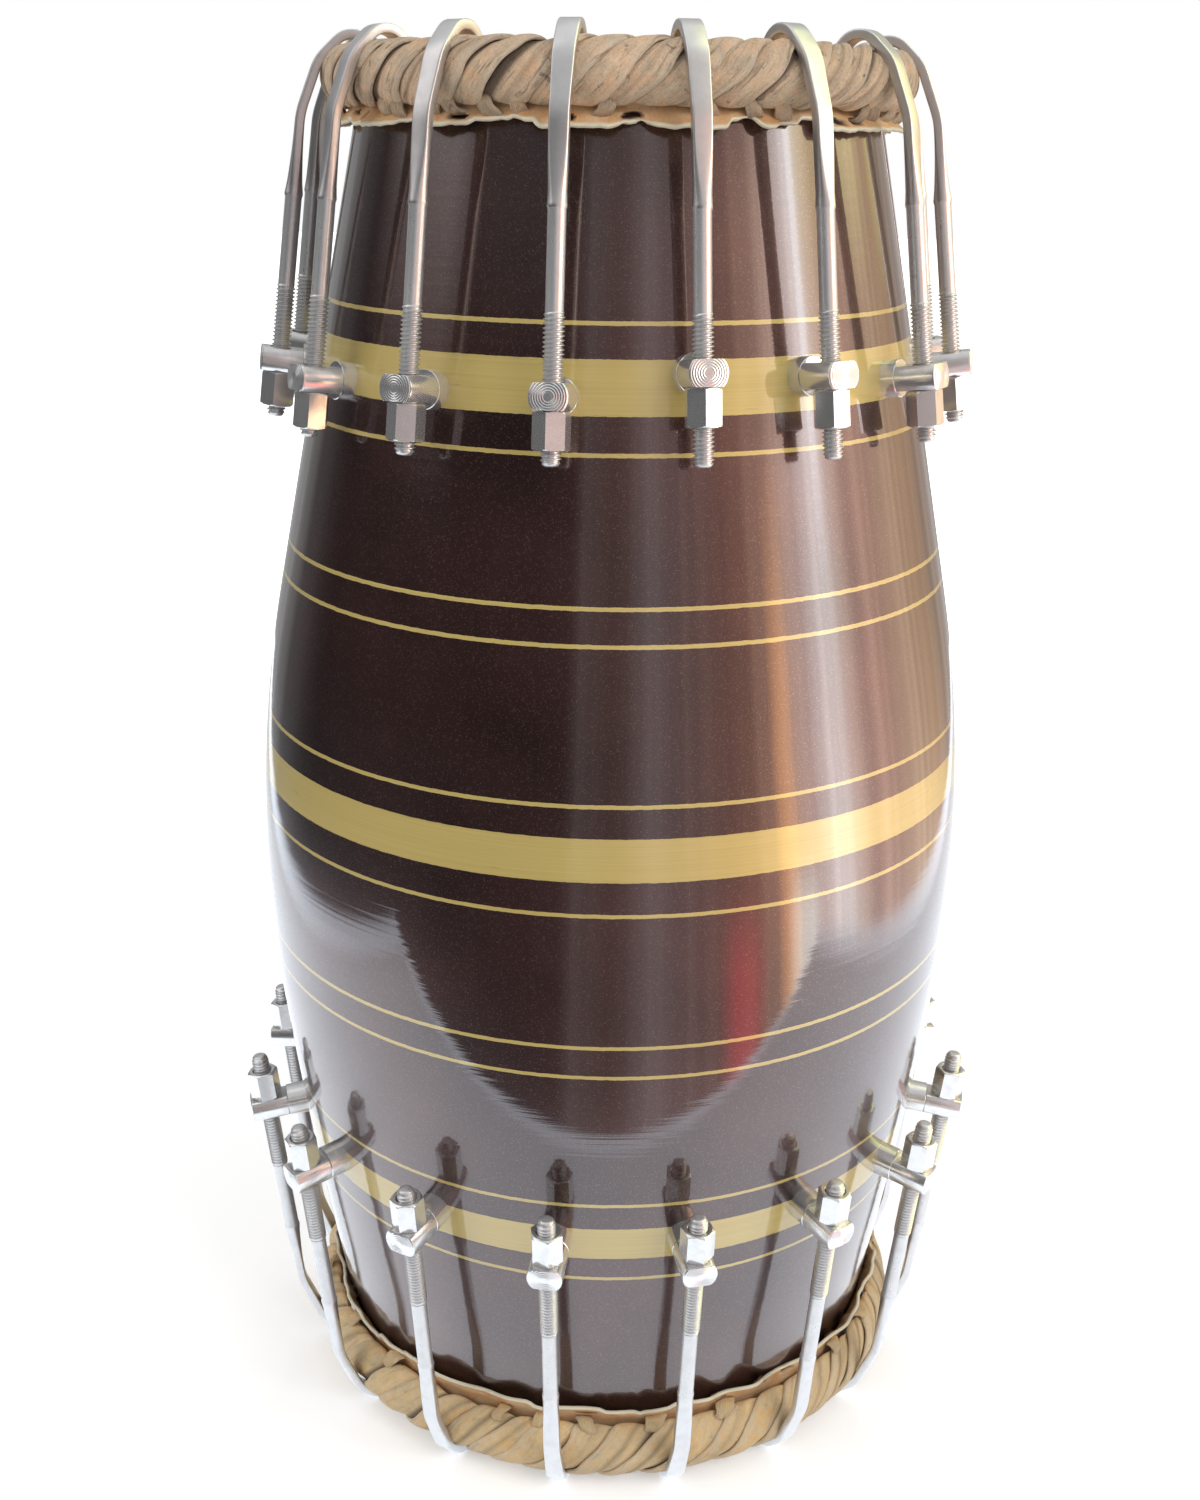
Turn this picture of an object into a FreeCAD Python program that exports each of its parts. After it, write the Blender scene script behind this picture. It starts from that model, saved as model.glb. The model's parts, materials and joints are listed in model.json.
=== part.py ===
import FreeCAD, Part

import math
import os

from FreeCAD import Vector

# A bolt-tuned mridangam, standing on its wide end, in millimetres and degrees.
# The frame has its origin on the ground under the middle of the drum, with Z up the shell.
# Two hide heads are held by plaited rings. Sixteen hooks a head pull each ring towards the middle
# of the drum, through a post on the shell, by a nut on the hook's threaded end.

os.makedirs("parts", exist_ok=True)

# The turned shell
shell_length = 469.0
belly_radius = 128.6
belly_height_share = 0.426
belly_sweep_radius = 500.0
cone_lean = 11.5
lower_lean = 6.65
lower_sweep_radius = 2000.0
shell_wall = 14.0
hollow_sides = 48

# The heads
skin_thickness = 1.2
rim_band_width = 17.0
rim_skin_thickness = 1.2
skirt_reach = 6.0
skirt_flare = 3.2
patch_radius = 39.0
patch_thickness = 2.6
patch_bevel = 1.6

# The plaited rings and the hoops inside them
plait_rise = 5.0
plait_crown = 6.5
crown_sides = 4
treble_plait_height = 18.6
treble_plait_width = 13.9
bass_plait_height = 21.0
bass_plait_width = 14.5
hoop_width = 3.5
hoop_height = 7.0
hoop_inset = 3.4
hoop_sides = 26
strap_count = 52
strap_step = 1.3
strap_top_share = 0.8
strap_slant = 1.0

# The stations of hooks round each end
station_count = 16
first_station_angle = -77.5
treble_rod_standoff = 12.4
bass_rod_standoff = 14.6
treble_post_depth = 89.0
bass_post_depth = 97.5
treble_post_shift = 5.8
treble_shift_shares = (-0.33, -0.50, -0.26, -0.19, 1.0, 0.62, -0.10, -0.24)
bass_post_shift = 2.1
bass_shift_shares = (0.45, -0.52, -0.90, -0.24, -0.52, -1.0, 0.57, 0.57)
treble_turn = 1.3
treble_turn_shares = (0.0, 0.1, 0.35, 0.8, 0.15, -1.0, -0.25, 0.0)
bass_turn = 3.4
bass_turn_shares = (0.45, 0.65, 1.0, 0.62, 0.18, 0.0, -0.12, 0.0)

# A hook: threaded rod, plain rod, forged strap and bend
thread_radius = 3.175
rod_radius = 2.7
plain_rod_length = 28.0
forged_length = 22.0
thread_tail = 5.5
strap_width = 6.6
strap_thickness = 3.0
strap_lean = 22.0
shoulder_lean = 47.0
hook_rise = 6.3
hook_gap = 0.3
crown_reach = 3.6
tip_reach = 7.2
tip_drop = 3.2
tip_gap = 1.0
strap_edge_cut = 0.7

# A nut and the post that it pulls against
nut_across_flats = 10.0
nut_height = 11.4
nut_bore_clearance = 0.05
nut_seat_gap = 0.05
post_radius = 6.0
post_flat_thickness = 7.8
post_flat_length = 14.0
post_overhang = 6.6
post_hole_clearance = 0.3
overrun = 4.0
post_sides = 8
bore_sides = 8

bass_mouth_height = hook_rise + plait_rise
treble_mouth_height = bass_mouth_height + shell_length


def flat_point(radius, height):
    """A point of the plane through the drum's axis and the X axis."""
    return Vector(radius, 0, height)


def facing(tilt):
    """The direction away from the drum's axis, tilted up by an angle."""
    return flat_point(math.cos(math.radians(tilt)), math.sin(math.radians(tilt)))


class Outline:
    """The side of the shell: a lower sweep, the belly's arc and a straight cone, with no corner."""

    def __init__(self):
        belly_height = bass_mouth_height + belly_height_share * shell_length
        self.belly_centre = flat_point(belly_radius - belly_sweep_radius, belly_height)
        self.cone_start = self.belly_centre + facing(cone_lean) * belly_sweep_radius
        self.sweep_end = self.belly_centre + facing(-lower_lean) * belly_sweep_radius
        self.lower_centre = self.sweep_end - facing(-lower_lean) * lower_sweep_radius

    def radius(self, height):
        """The shell's outer radius at a height."""
        if height > self.cone_start.z:
            return self.cone_start.x - (height - self.cone_start.z) * math.tan(math.radians(cone_lean))
        centre, sweep = self.belly_centre, belly_sweep_radius
        if height < self.sweep_end.z:
            centre, sweep = self.lower_centre, lower_sweep_radius
        return centre.x + math.sqrt(sweep ** 2 - (height - centre.z) ** 2)

    def point(self, height):
        """The point of the side at a height."""
        return flat_point(self.radius(height), height)

    def edges(self):
        """The side's edges, from the bass mouth up to the treble mouth."""
        low = self.point(bass_mouth_height)
        middle = self.point((bass_mouth_height + self.sweep_end.z) / 2)
        belly = self.belly_centre + flat_point(belly_sweep_radius, 0)
        return [
            Part.Arc(low, middle, self.sweep_end).toShape(),
            Part.Arc(self.sweep_end, belly, self.cone_start).toShape(),
            Part.makeLine(self.cone_start, self.point(treble_mouth_height)),
        ]


outer_wall = Outline()


class End:
    """One end of the drum, in a frame of its own.

    Its height is zero at the shell's mouth and grows outwards, away from the middle of the drum,
    so that both ends are built alike and the bass end is then turned over.
    """

    def __init__(self, name, plait_width, plait_height, post_depth, rod_standoff, shifts, turns):
        self.name = name
        self.turned_over = name == "bass"
        self.plait_drop = plait_height - plait_rise
        self.plait_middle = plait_rise - plait_height / 2
        self.post_depth = post_depth
        self.rod_standoff = rod_standoff
        self.shifts = shifts
        self.turns = turns
        self.mouth_radius = self.wall(0)
        self.plait_radius = self.mouth_radius + plait_width
        self.neck_radius = self.wall(-self.plait_drop)
        self.crown_radius = (plait_height ** 2 / 4 + plait_crown ** 2) / (2 * plait_crown)
        self.crown_centre = self.plait_radius - self.crown_radius
        self.set_rod_line()

    def world_height(self, height):
        """The height above the ground of a height in this end's frame."""
        if self.turned_over:
            return bass_mouth_height - height
        return treble_mouth_height + height

    def wall(self, height):
        """The shell's outer radius at a height in this end's frame."""
        return outer_wall.radius(self.world_height(height))

    def set_rod_line(self):
        """The rod runs from its post to the bend, where the strap starts to lie round the plait."""
        distance = self.crown_radius + hook_gap + strap_thickness / 2
        lean = math.radians(strap_lean)
        below = self.plait_drop + self.plait_middle
        bend_radius_here = self.crown_centre + (distance + below * math.sin(lean)) / math.cos(lean)
        self.strap_distance = distance
        self.bend_point = flat_point(bend_radius_here, -self.plait_drop)
        self.rod_at_post = flat_point(self.wall(-self.post_depth) + self.rod_standoff, -self.post_depth)
        self.along = (self.bend_point - self.rod_at_post).normalize()
        self.outwards = Vector(self.along.z, 0, -self.along.x)

    def on_rod(self, distance, stand=0):
        """A point at a distance along the rod from its post, and off its axis by a stand."""
        return self.rod_at_post + self.along * distance + self.outwards * stand

    def station_angle(self, station):
        """The turn about the drum's axis that takes the X axis to a station, with its own small turn."""
        even = first_station_angle - 90 + station * 360 / station_count
        return even + self.turns[station % len(self.turns)]

    def place(self, shape, station=None):
        """A shape of this end's frame, moved to the drum's frame, and round to a station if one is given."""
        placed = shape.copy()
        middle = Vector(0, 0, 0)
        if self.turned_over:
            placed.rotate(middle, Vector(1, 0, 0), 180)
        placed.translate(Vector(0, 0, self.world_height(0)))
        if station is not None:
            placed.rotate(middle, Vector(0, 0, 1), self.station_angle(station))
        return placed


def flat_faces(corners):
    """A flat face through four corners, or two triangles where the four don't lie flat."""
    side = Part.makePolygon(corners + [corners[0]])
    if side.findPlane() is not None:
        return [Part.Face(side)]
    halves = (corners[:3], [corners[0]] + corners[2:])
    return [Part.Face(Part.makePolygon(half + [half[0]])) for half in halves]


def skin_through(sections, ring=False):
    """A closed solid of flat faces through a row of sections with as many points each.

    A ring joins the last section to the first. Otherwise the two end sections are closed.
    """
    pairs = list(zip(sections, sections[1:]))
    faces = []
    if ring:
        pairs.append((sections[-1], sections[0]))
    else:
        faces = [Part.Face(Part.makePolygon(end + [end[0]])) for end in (sections[0], sections[-1])]
    for low, high in pairs:
        for index in range(len(low)):
            after = (index + 1) % len(low)
            faces += flat_faces([low[index], low[after], high[after], high[index]])
    solid = Part.Solid(Part.Shell(faces))
    return solid if solid.Volume > 0 else solid.reversed()


def sided_circles(points, sides):
    """Level circles with flat sides, whose flats lie at the points' radii."""
    reach = 1 / math.cos(math.pi / sides)
    sections = []
    for point in points:
        circle = []
        for side in range(sides):
            angle = 2 * math.pi * side / sides
            radius = point.x * reach
            circle.append(Vector(radius * math.cos(angle), radius * math.sin(angle), point.z))
        sections.append(circle)
    return sections


def sided_ring(points, sides):
    """A ring with flat sides, from the closed outline of its section."""
    return skin_through(sided_circles(points, sides), ring=True)


def shell_core():
    """The shell before it is hollowed: everything inside the outside of its wall."""
    foot = flat_point(0, bass_mouth_height)
    head = flat_point(0, treble_mouth_height)
    low = outer_wall.point(bass_mouth_height)
    high = outer_wall.point(treble_mouth_height)
    sides = [Part.makeLine(foot, low)] + outer_wall.edges()
    sides += [Part.makeLine(high, head), Part.makeLine(head, foot)]
    return Part.Face(Part.Wire(sides)).revolve(Vector(0, 0, 0), Vector(0, 0, 1), 360)


def shell_hollow():
    """The air space: bored straight from each mouth to the belly, in flat strokes."""
    inset = flat_point(shell_wall, 0)
    past = flat_point(0, overrun)
    low = outer_wall.point(bass_mouth_height) - inset
    belly = outer_wall.point(outer_wall.belly_centre.z) - inset
    high = outer_wall.point(treble_mouth_height) - inset
    return skin_through(sided_circles([low - past, low, belly, high, high + past], hollow_sides))


def make_playing_skin(end):
    """The flat skin across the mouth."""
    foot, up = Vector(0, 0, 0), Vector(0, 0, 1)
    return sided_bar(foot, up, skin_thickness, end.mouth_radius, strap_count)


def make_rim_skin(end):
    """The outer skin: a band on the playing skin, turned down over the lip, that ends in a skirt."""
    top = skin_thickness + rim_skin_thickness
    fold = end.mouth_radius + rim_skin_thickness
    neck = end.neck_radius + rim_skin_thickness
    drop = -end.plait_drop
    inner_edge = end.mouth_radius - rim_band_width
    points = [
        flat_point(inner_edge, skin_thickness),
        flat_point(end.mouth_radius, skin_thickness),
        flat_point(end.neck_radius, drop),
        flat_point(neck + skirt_flare - rim_skin_thickness, drop - skirt_reach),
        flat_point(neck + skirt_flare, drop - skirt_reach),
        flat_point(neck, drop),
        flat_point(fold, skin_thickness),
        flat_point(end.mouth_radius, top),
        flat_point(inner_edge, top),
    ]
    return sided_ring(points, strap_count)


def plait_section(end):
    """The plait's section: upright against the rim skin inside, and crowned outside."""
    shoulder = end.plait_radius - plait_crown
    fold = end.mouth_radius + rim_skin_thickness
    neck = end.neck_radius + rim_skin_thickness
    centre = flat_point(end.crown_centre, end.plait_middle)
    spread = math.degrees(math.atan2(end.plait_drop + end.plait_middle, shoulder - centre.x))
    points = []
    for step in range(crown_sides + 1):
        tilt = spread * (2 * step / crown_sides - 1)
        points.append(centre + facing(tilt) * end.crown_radius)
    points += [
        flat_point(fold, plait_rise),
        flat_point(fold, skin_thickness),
        flat_point(neck, -end.plait_drop),
    ]
    return points


def make_hoop(end):
    """The metal hoop that the straps are wound round."""
    inner = end.mouth_radius + rim_skin_thickness + hoop_inset
    outer = inner + hoop_width
    low = end.plait_middle - hoop_height / 2
    high = low + hoop_height
    corners = [flat_point(inner, low), flat_point(outer, low)]
    corners += [flat_point(outer, high), flat_point(inner, high)]
    return sided_ring(corners, hoop_sides)


def strap_ring(end, points):
    """The plait's rings of points: each strap rises from its tucked edge to its top edge.

    The straps lean along the ring as they climb, by the same step from each ring to the next.
    """
    pitch = 2 * math.pi / strap_count
    lean_step = strap_slant * (end.plait_drop + plait_rise) / end.plait_radius / crown_sides
    centre = flat_point(end.crown_centre, end.plait_middle)
    rings = []
    for index, point in enumerate(points):
        outside = index <= crown_sides
        inwards = (centre - point).normalize() * (strap_step if outside else 0)
        ring = []
        for strap in range(strap_count):
            start = strap * pitch + min(index, crown_sides) * lean_step
            for share, corner in ((0, point + inwards), (strap_top_share, point)):
                angle = start + share * pitch
                clear = 1 if outside else math.cos(pitch / 2) * math.cos(strap_top_share * pitch / 2)
                radius = corner.x / clear
                ring.append(Vector(radius * math.cos(angle), radius * math.sin(angle), corner.z))
        rings.append(ring)
    return rings


def make_plait(end):
    """The ring of hide straps, wound aslant and lapped one over the next, closed round its hoop."""
    ring = skin_through(strap_ring(end, plait_section(end)), ring=True)
    return ring.cut(make_hoop(end))


def make_tuning_patch():
    """The black paste patch in the middle of the treble head, with a bevelled edge."""
    foot, up = Vector(0, 0, skin_thickness), Vector(0, 0, 1)
    patch = sided_bar(foot, up, patch_thickness, patch_radius, strap_count)
    return patch.makeChamfer(patch_bevel, patch.Faces[-1].Edges)


def turned_direction(lean):
    """The direction of a strap that leans in towards the drum's axis by an angle."""
    return Vector(-math.sin(math.radians(lean)), 0, math.cos(math.radians(lean)))


def strap_route(end):
    """The corners of the strap's middle line, from the plain rod over the plait to the tip.

    The strap and its shoulder both touch a circle round the plait's crown, so that the hook lies
    one small gap off the plait, and the crown of the hook is level.
    """
    centre = flat_point(end.crown_centre, end.plait_middle)
    half_turn = math.radians(shoulder_lean - strap_lean) / 2
    facing = math.radians(shoulder_lean + strap_lean) / 2
    reach = end.strap_distance / math.cos(half_turn)
    shoulder = centre + Vector(math.cos(facing), 0, math.sin(facing)) * reach
    crown_height = plait_rise + hook_rise - strap_thickness / 2
    climb = turned_direction(shoulder_lean)
    crown_start = shoulder + climb * ((crown_height - shoulder.z) / climb.z)
    crown_end = flat_point(end.crown_centre - crown_reach, crown_height)
    tip_height = skin_thickness + rim_skin_thickness + tip_gap
    tip_turn = flat_point(end.crown_centre - tip_reach, crown_height - tip_drop)
    tip = flat_point(tip_turn.x, tip_height)
    strap_start = end.bend_point - end.along * strap_thickness
    return [strap_start, end.bend_point, shoulder, crown_start, crown_end, tip_turn, tip]


def unit_between(start, finish):
    """The direction from one point to another."""
    return (finish - start).normalize()


def eight_points(centre, deep, half_width, half_depth, corner_cut):
    """A section of eight points: a rectangle with its corners cut off, or a round bar.

    The deep direction is that of the half depth. It may be longer than one, as a mitre is.
    """
    wide = Vector(0, 1, 0)
    narrow = half_depth - corner_cut
    flat = half_width - corner_cut
    quarter = [(half_width, narrow), (flat, half_depth)]
    ring = quarter + [(-across, depth) for across, depth in reversed(quarter)]
    ring += [(-across, -depth) for across, depth in ring]
    return [centre + wide * across + deep * depth for across, depth in ring]


def round_section(centre, deep, radius):
    """The section of a round bar, its eight corners at the bar's radius."""
    apothem = radius * math.cos(math.pi / 8)
    return eight_points(centre, deep, apothem, apothem, apothem * (1 - math.tan(math.pi / 8)))


def strap_sections(route):
    """The strap's sections, mitred at each corner of its route."""
    sections = []
    last = len(route) - 1
    for index, point in enumerate(route):
        before = unit_between(route[max(index - 1, 0)], route[max(index, 1)])
        after = unit_between(route[min(index, last - 1)], route[min(index + 1, last)])
        middle = (before + after).normalize()
        deep = Vector(middle.z, 0, -middle.x) * (1 / middle.dot(before))
        sections.append(
            eight_points(point, deep, strap_width / 2, strap_thickness / 2, strap_edge_cut)
        )
    return sections


def make_hook(end):
    """One hook: threaded rod, plain rod, the stretch forged flat, and the strap, as one solid."""
    route = strap_route(end)
    forging_start = (route[0] - end.rod_at_post).Length - forged_length
    thread_end = forging_start - plain_rod_length
    tail = post_flat_thickness / 2 + nut_seat_gap + nut_height + thread_tail
    sections = [
        round_section(end.on_rod(-tail), end.outwards, thread_radius),
        round_section(end.on_rod(thread_end), end.outwards, thread_radius),
        round_section(end.on_rod(thread_end), end.outwards, rod_radius),
        round_section(end.on_rod(forging_start), end.outwards, rod_radius),
    ]
    return skin_through(sections + strap_sections(route))


def sided_bar(start, axis, length, radius, sides, half_step=False):
    """A straight bar or bore with flat sides, whose corners lie at the radius."""
    across = Vector(0, 1, 0)
    upright = axis.cross(across)
    corners = []
    for corner in range(sides + 1):
        angle = 2 * math.pi * (corner + (1 / 2 if half_step else 0)) / sides
        corners.append(start + (across * math.cos(angle) + upright * math.sin(angle)) * radius)
    return Part.Face(Part.makePolygon(corners)).extrude(axis * length)


def bore_radius(radius, clearance):
    """The corner radius of a sided bore whose flats clear a round bar."""
    return (radius + clearance) / math.cos(math.pi / bore_sides)


def make_nut(end, shift):
    """A tall hexagon nut, seated on its post's flat on the side away from the head."""
    seat = end.on_rod(shift - post_flat_thickness / 2 - nut_seat_gap)
    away = end.along * -1
    prism = sided_bar(seat, away, nut_height, nut_across_flats / math.sqrt(3), 6)
    bore = bore_radius(thread_radius, nut_bore_clearance)
    return prism.cut(sided_bar(seat, away, nut_height, bore, bore_sides))


def post_slab(end, shift):
    """The flat-sided space that the milled end of a post keeps to."""
    start = post_overhang - post_flat_length
    half = post_flat_thickness / 2
    corners = []
    for distance, stand in ((-half, start), (half, start), (half, post_overhang), (-half, post_overhang)):
        corners.append(end.on_rod(shift + distance, stand) - Vector(0, post_radius, 0))
    side = Part.makePolygon(corners + [corners[0]])
    return Part.Face(side).extrude(Vector(0, 2 * post_radius, 0))


def make_post(end, shift):
    """A turned post: round where it meets the shell, and milled flat on two sides at the rod."""
    root = -end.rod_standoff - overrun
    base_length = post_overhang - post_flat_length - root
    base = sided_bar(end.on_rod(shift, root), end.outwards, base_length, post_radius, post_sides, True)
    tip_start = end.on_rod(shift, post_overhang - post_flat_length)
    tip = sided_bar(tip_start, end.outwards, post_flat_length, post_radius, post_sides, True)
    bar = base.fuse(tip.common(post_slab(end, shift)))
    hole_start = end.on_rod(shift - post_flat_thickness)
    hole_radius = bore_radius(thread_radius, post_hole_clearance)
    hole = sided_bar(hole_start, end.along, 2 * post_flat_thickness, hole_radius, bore_sides)
    return bar.cut(hole)


def shift_at(end, station):
    """How far a station's post stands along its rod from the mean place."""
    return end.shifts[station % len(end.shifts)]


def save(name, shapes):
    """Write one node's solids to its own file."""
    solids = [solid for shape in shapes for solid in shape.Solids]
    for solid in solids:
        if not solid.isValid() or solid.Volume <= 0:
            print("not a sound solid:", name)
    Part.makeCompound(solids).exportStep("parts/" + name + ".step")


def save_head(end):
    """The skins, plait and hoop of one end."""
    save(end.name + "_playing_skin", [end.place(make_playing_skin(end))])
    save(end.name + "_rim_skin", [end.place(make_rim_skin(end))])
    save(end.name + "_plait", [end.place(make_plait(end))])


def main():
    treble_shifts = [share * treble_post_shift for share in treble_shift_shares]
    bass_shifts = [share * bass_post_shift for share in bass_shift_shares]
    treble_turns = [share * treble_turn for share in treble_turn_shares]
    bass_turns = [share * bass_turn for share in bass_turn_shares]
    treble = End("treble", treble_plait_width, treble_plait_height, treble_post_depth,
                 treble_rod_standoff, treble_shifts, treble_turns)
    bass = End("bass", bass_plait_width, bass_plait_height, bass_post_depth,
               bass_rod_standoff, bass_shifts, bass_turns)
    core = shell_core()
    save("shell", [core.cut(shell_hollow())])
    save("tuning_patch", [treble.place(make_tuning_patch())])
    save("head_hoops", [end.place(make_hoop(end)) for end in (treble, bass)])
    posts = []
    for end in (treble, bass):
        save_head(end)
        hook = make_hook(end)
        hooks = []
        for station in range(station_count):
            number = "_%02d" % (station + 1)
            shift = shift_at(end, station)
            posts.append(end.place(make_post(end, shift), station).cut(core))
            hooks.append(end.place(hook, station))
            save(end.name + "_nut" + number, [end.place(make_nut(end, shift), station)])
            if end is treble:
                save("treble_hook" + number, [hooks[-1]])
        if end is bass:
            save("bass_hooks", hooks)
        point = end.rod_at_post
        print(end.name, "rod at its post: radius %.5f height %.5f" % (point.x, end.world_height(point.z)))
        print(end.name, "rod direction in its own frame: %.7f %.7f" % (end.along.x, end.along.z))
        print(end.name, "stations at", " ".join("%.5f" % end.station_angle(k) for k in range(station_count)))
        crown = strap_route(end)[3:5]
        print(end.name, "crown flat from radius %.2f to %.2f" % (crown[1].x, crown[0].x))
    save("tuning_posts", posts)


main()
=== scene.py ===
"""Looks of a bolt-tuned mridangam, built round its packed construction.

Pieces are modelled in millimetres, most of them in the frame of their own end of the drum. There the X axis
points away from the drum's axis, and the height is zero at the shell's mouth and grows outwards, away from
the middle of the drum. Each piece is then put in its place in the drum's frame, in metres.
"""
import json
import logging
import math
import random
from dataclasses import dataclass, field
from enum import Enum
from typing import Iterable, Sequence

import bmesh
import bpy
from mathutils import Matrix, Vector, noise


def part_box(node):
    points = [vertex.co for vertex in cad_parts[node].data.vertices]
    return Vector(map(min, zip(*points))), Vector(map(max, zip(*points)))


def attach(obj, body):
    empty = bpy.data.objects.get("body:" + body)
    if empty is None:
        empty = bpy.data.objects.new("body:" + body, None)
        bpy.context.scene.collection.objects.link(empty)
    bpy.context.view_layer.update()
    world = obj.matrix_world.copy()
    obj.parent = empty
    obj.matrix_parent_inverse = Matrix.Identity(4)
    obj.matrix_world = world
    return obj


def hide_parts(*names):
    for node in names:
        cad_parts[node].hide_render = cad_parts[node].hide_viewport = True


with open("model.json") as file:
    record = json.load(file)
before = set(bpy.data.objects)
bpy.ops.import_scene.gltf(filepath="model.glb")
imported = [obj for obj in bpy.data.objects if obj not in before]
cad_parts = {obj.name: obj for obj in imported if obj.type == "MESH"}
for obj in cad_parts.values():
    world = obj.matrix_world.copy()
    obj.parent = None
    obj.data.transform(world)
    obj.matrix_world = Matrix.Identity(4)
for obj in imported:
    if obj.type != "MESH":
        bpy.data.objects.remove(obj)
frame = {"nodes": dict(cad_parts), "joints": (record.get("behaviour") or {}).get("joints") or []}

LOG = logging.getLogger("mridangam")
METRES = 0.001
STATIONS = 16
STRAPS = 52
UP = Vector((0, 0, 1))
# Points nearer to each other than this, in millimetres, are one.
WELD = 0.001
# The most of a side that one rounded corner may take.
CORNER_SHARE = 0.48
# What each point of the hide keeps: its strap's tone, its painted shade (under a neighbour's edge, in a fold,
# at a short end's ends, on the packing), and its paleness from wear and a painted highlight.
HIDE_LAYERS = ("tone", "lap", "worn")

Pair = tuple[float, float]
Triple = tuple[float, float, float]
Colour = Triple
Shape = bmesh.types.BMesh
Socket = bpy.types.NodeSocket
Finish = bpy.types.Material


class EndName(Enum):
    """The two ends of the drum."""

    TREBLE = "treble"
    BASS = "bass"


class Facing(Enum):
    """Where the Z axis of a frame on a rod points."""

    ALONG = "towards the head"
    BACK = "away from the head"
    OUT = "away from the shell"


class Slot(Enum):
    """The record's material slots."""

    LACQUER = "lacquered_wood"
    PLATED = "plated_steel"
    PLAIT = "plaited_hide"
    RIM = "rim_hide"
    SKIN = "playing_hide"
    PASTE = "black_paste"


def smooth(share: float) -> float:
    """A share from 0 to 1, eased at both ends."""
    share = min(max(share, 0.0), 1.0)
    return share * share * (3 - 2 * share)


def wander(place: float, seed: float) -> float:
    """A smooth value between about -1 and 1 that wanders with a place on a line."""
    return noise.noise(Vector((place, seed * 7.31, seed * 1.7))) * 1.6


def heading(angle: float) -> Vector:
    """The direction at an angle of a plane."""
    return Vector((math.cos(angle), math.sin(angle)))


def square_to(tangent: Vector) -> Vector:
    """The direction square to a line of the plane of radius and height, on its right."""
    return Vector((tangent.y, -tangent.x))


def swung(place: Vector, turn: float) -> Vector:
    """A point of the plane of radius and height, turned about the drum's axis."""
    return Vector((place.x * math.cos(turn), place.x * math.sin(turn), place.y))


# Lines and lofts.


class Line:
    """A line through points of the plane of radius and height, read by the distance along it."""

    def __init__(self, points: Sequence[Vector]) -> None:
        """Keeps the points and the distance of each from the start.

        Args:
            points: the points of the line, in order.
        """
        self.points = [Vector(point) for point in points]
        self.distances = [0.0]
        for first, second in zip(self.points, self.points[1:]):
            self.distances.append(self.distances[-1] + (second - first).length)
        self.length = self.distances[-1]

    def tangent(self, index: int) -> Vector:
        """The direction of the line at one of its points."""
        last = len(self.points) - 1
        return (self.points[min(index + 1, last)] - self.points[max(index - 1, 0)]).normalized()

    def at(self, distance: float) -> tuple[Vector, Vector]:
        """The point at a distance from the start, and the line's direction there.

        Args:
            distance: how far along the line.

        Returns:
            The point and the direction, both of the plane.
        """
        distance = min(max(distance, 0.0), self.length)
        index = 0
        while index < len(self.points) - 2 and self.distances[index + 1] < distance:
            index += 1
        span = self.distances[index + 1] - self.distances[index]
        share = (distance - self.distances[index]) / span if span else 0.0
        point = self.points[index].lerp(self.points[index + 1], share)
        return point, self.tangent(index).lerp(self.tangent(index + 1), share).normalized()


def rounded(corners: Sequence[Vector], radii: Sequence[float], steps: int = 8) -> list[Vector]:
    """A line's points with its inner corners rounded.

    Args:
        corners: the corners of the line, its two ends included.
        radii: the radius of each inner corner.
        steps: how many pieces each rounded corner has.

    Returns:
        The points of the rounded line.
    """
    points = [corners[0]]
    for before, corner, after, radius in zip(corners, corners[1:], corners[2:], radii):
        back, ahead = before - corner, after - corner
        turn = math.pi - back.angle(ahead)
        cut = min(radius * math.tan(turn / 2), CORNER_SHARE * back.length,
                  CORNER_SHARE * ahead.length)
        start, finish = corner + back.normalized() * cut, corner + ahead.normalized() * cut
        for step in range(steps + 1):
            share = step / steps
            points.append(start.lerp(corner, share).lerp(corner.lerp(finish, share), share))
    points.append(corners[-1])
    return points


class Loft:
    """A skin drawn out ring by ring from one circle of vertices."""

    def __init__(self, points: Sequence[Vector]) -> None:
        """Starts the skin with its first ring.

        Args:
            points: the points of the first ring.
        """
        self.bm = bmesh.new()
        self.slot = self.bm.verts.layers.int.new("slot")
        made = bmesh.ops.create_circle(self.bm, segments=len(points), radius=1)
        for index, vert in enumerate(made["verts"]):
            vert[self.slot] = index
        self.rim = list(self.bm.edges)
        self.first = list(self.rim)
        self.put(made["verts"], points)

    def put(self, verts: Iterable[bmesh.types.BMVert], points: Sequence[Vector]) -> None:
        """Moves a ring's vertices to their points."""
        for vert in verts:
            vert.co = points[vert[self.slot]]

    def ring(self, points: Sequence[Vector]) -> None:
        """Draws the skin out to one more ring.

        Args:
            points: the points of the new ring, as many as the first has.
        """
        made = bmesh.ops.extrude_edge_only(self.bm, edges=self.rim)["geom"]
        verts = {item for item in made if isinstance(item, bmesh.types.BMVert)}
        edges = [item for item in made if isinstance(item, bmesh.types.BMEdge)]
        self.rim = [edge for edge in edges if edge.verts[0] in verts and edge.verts[1] in verts]
        self.put(verts, points)

    def close(self) -> Shape:
        """Closes both ends and gives the mesh.

        Returns:
            The closed mesh.
        """
        bmesh.ops.contextual_create(self.bm, geom=self.first)
        bmesh.ops.contextual_create(self.bm, geom=self.rim)
        return self.bm

    def join(self) -> Shape:
        """Joins the last ring to the first, as round a bore, and gives the mesh."""
        bmesh.ops.bridge_loops(self.bm, edges=self.first + self.rim)
        return self.bm


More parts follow.
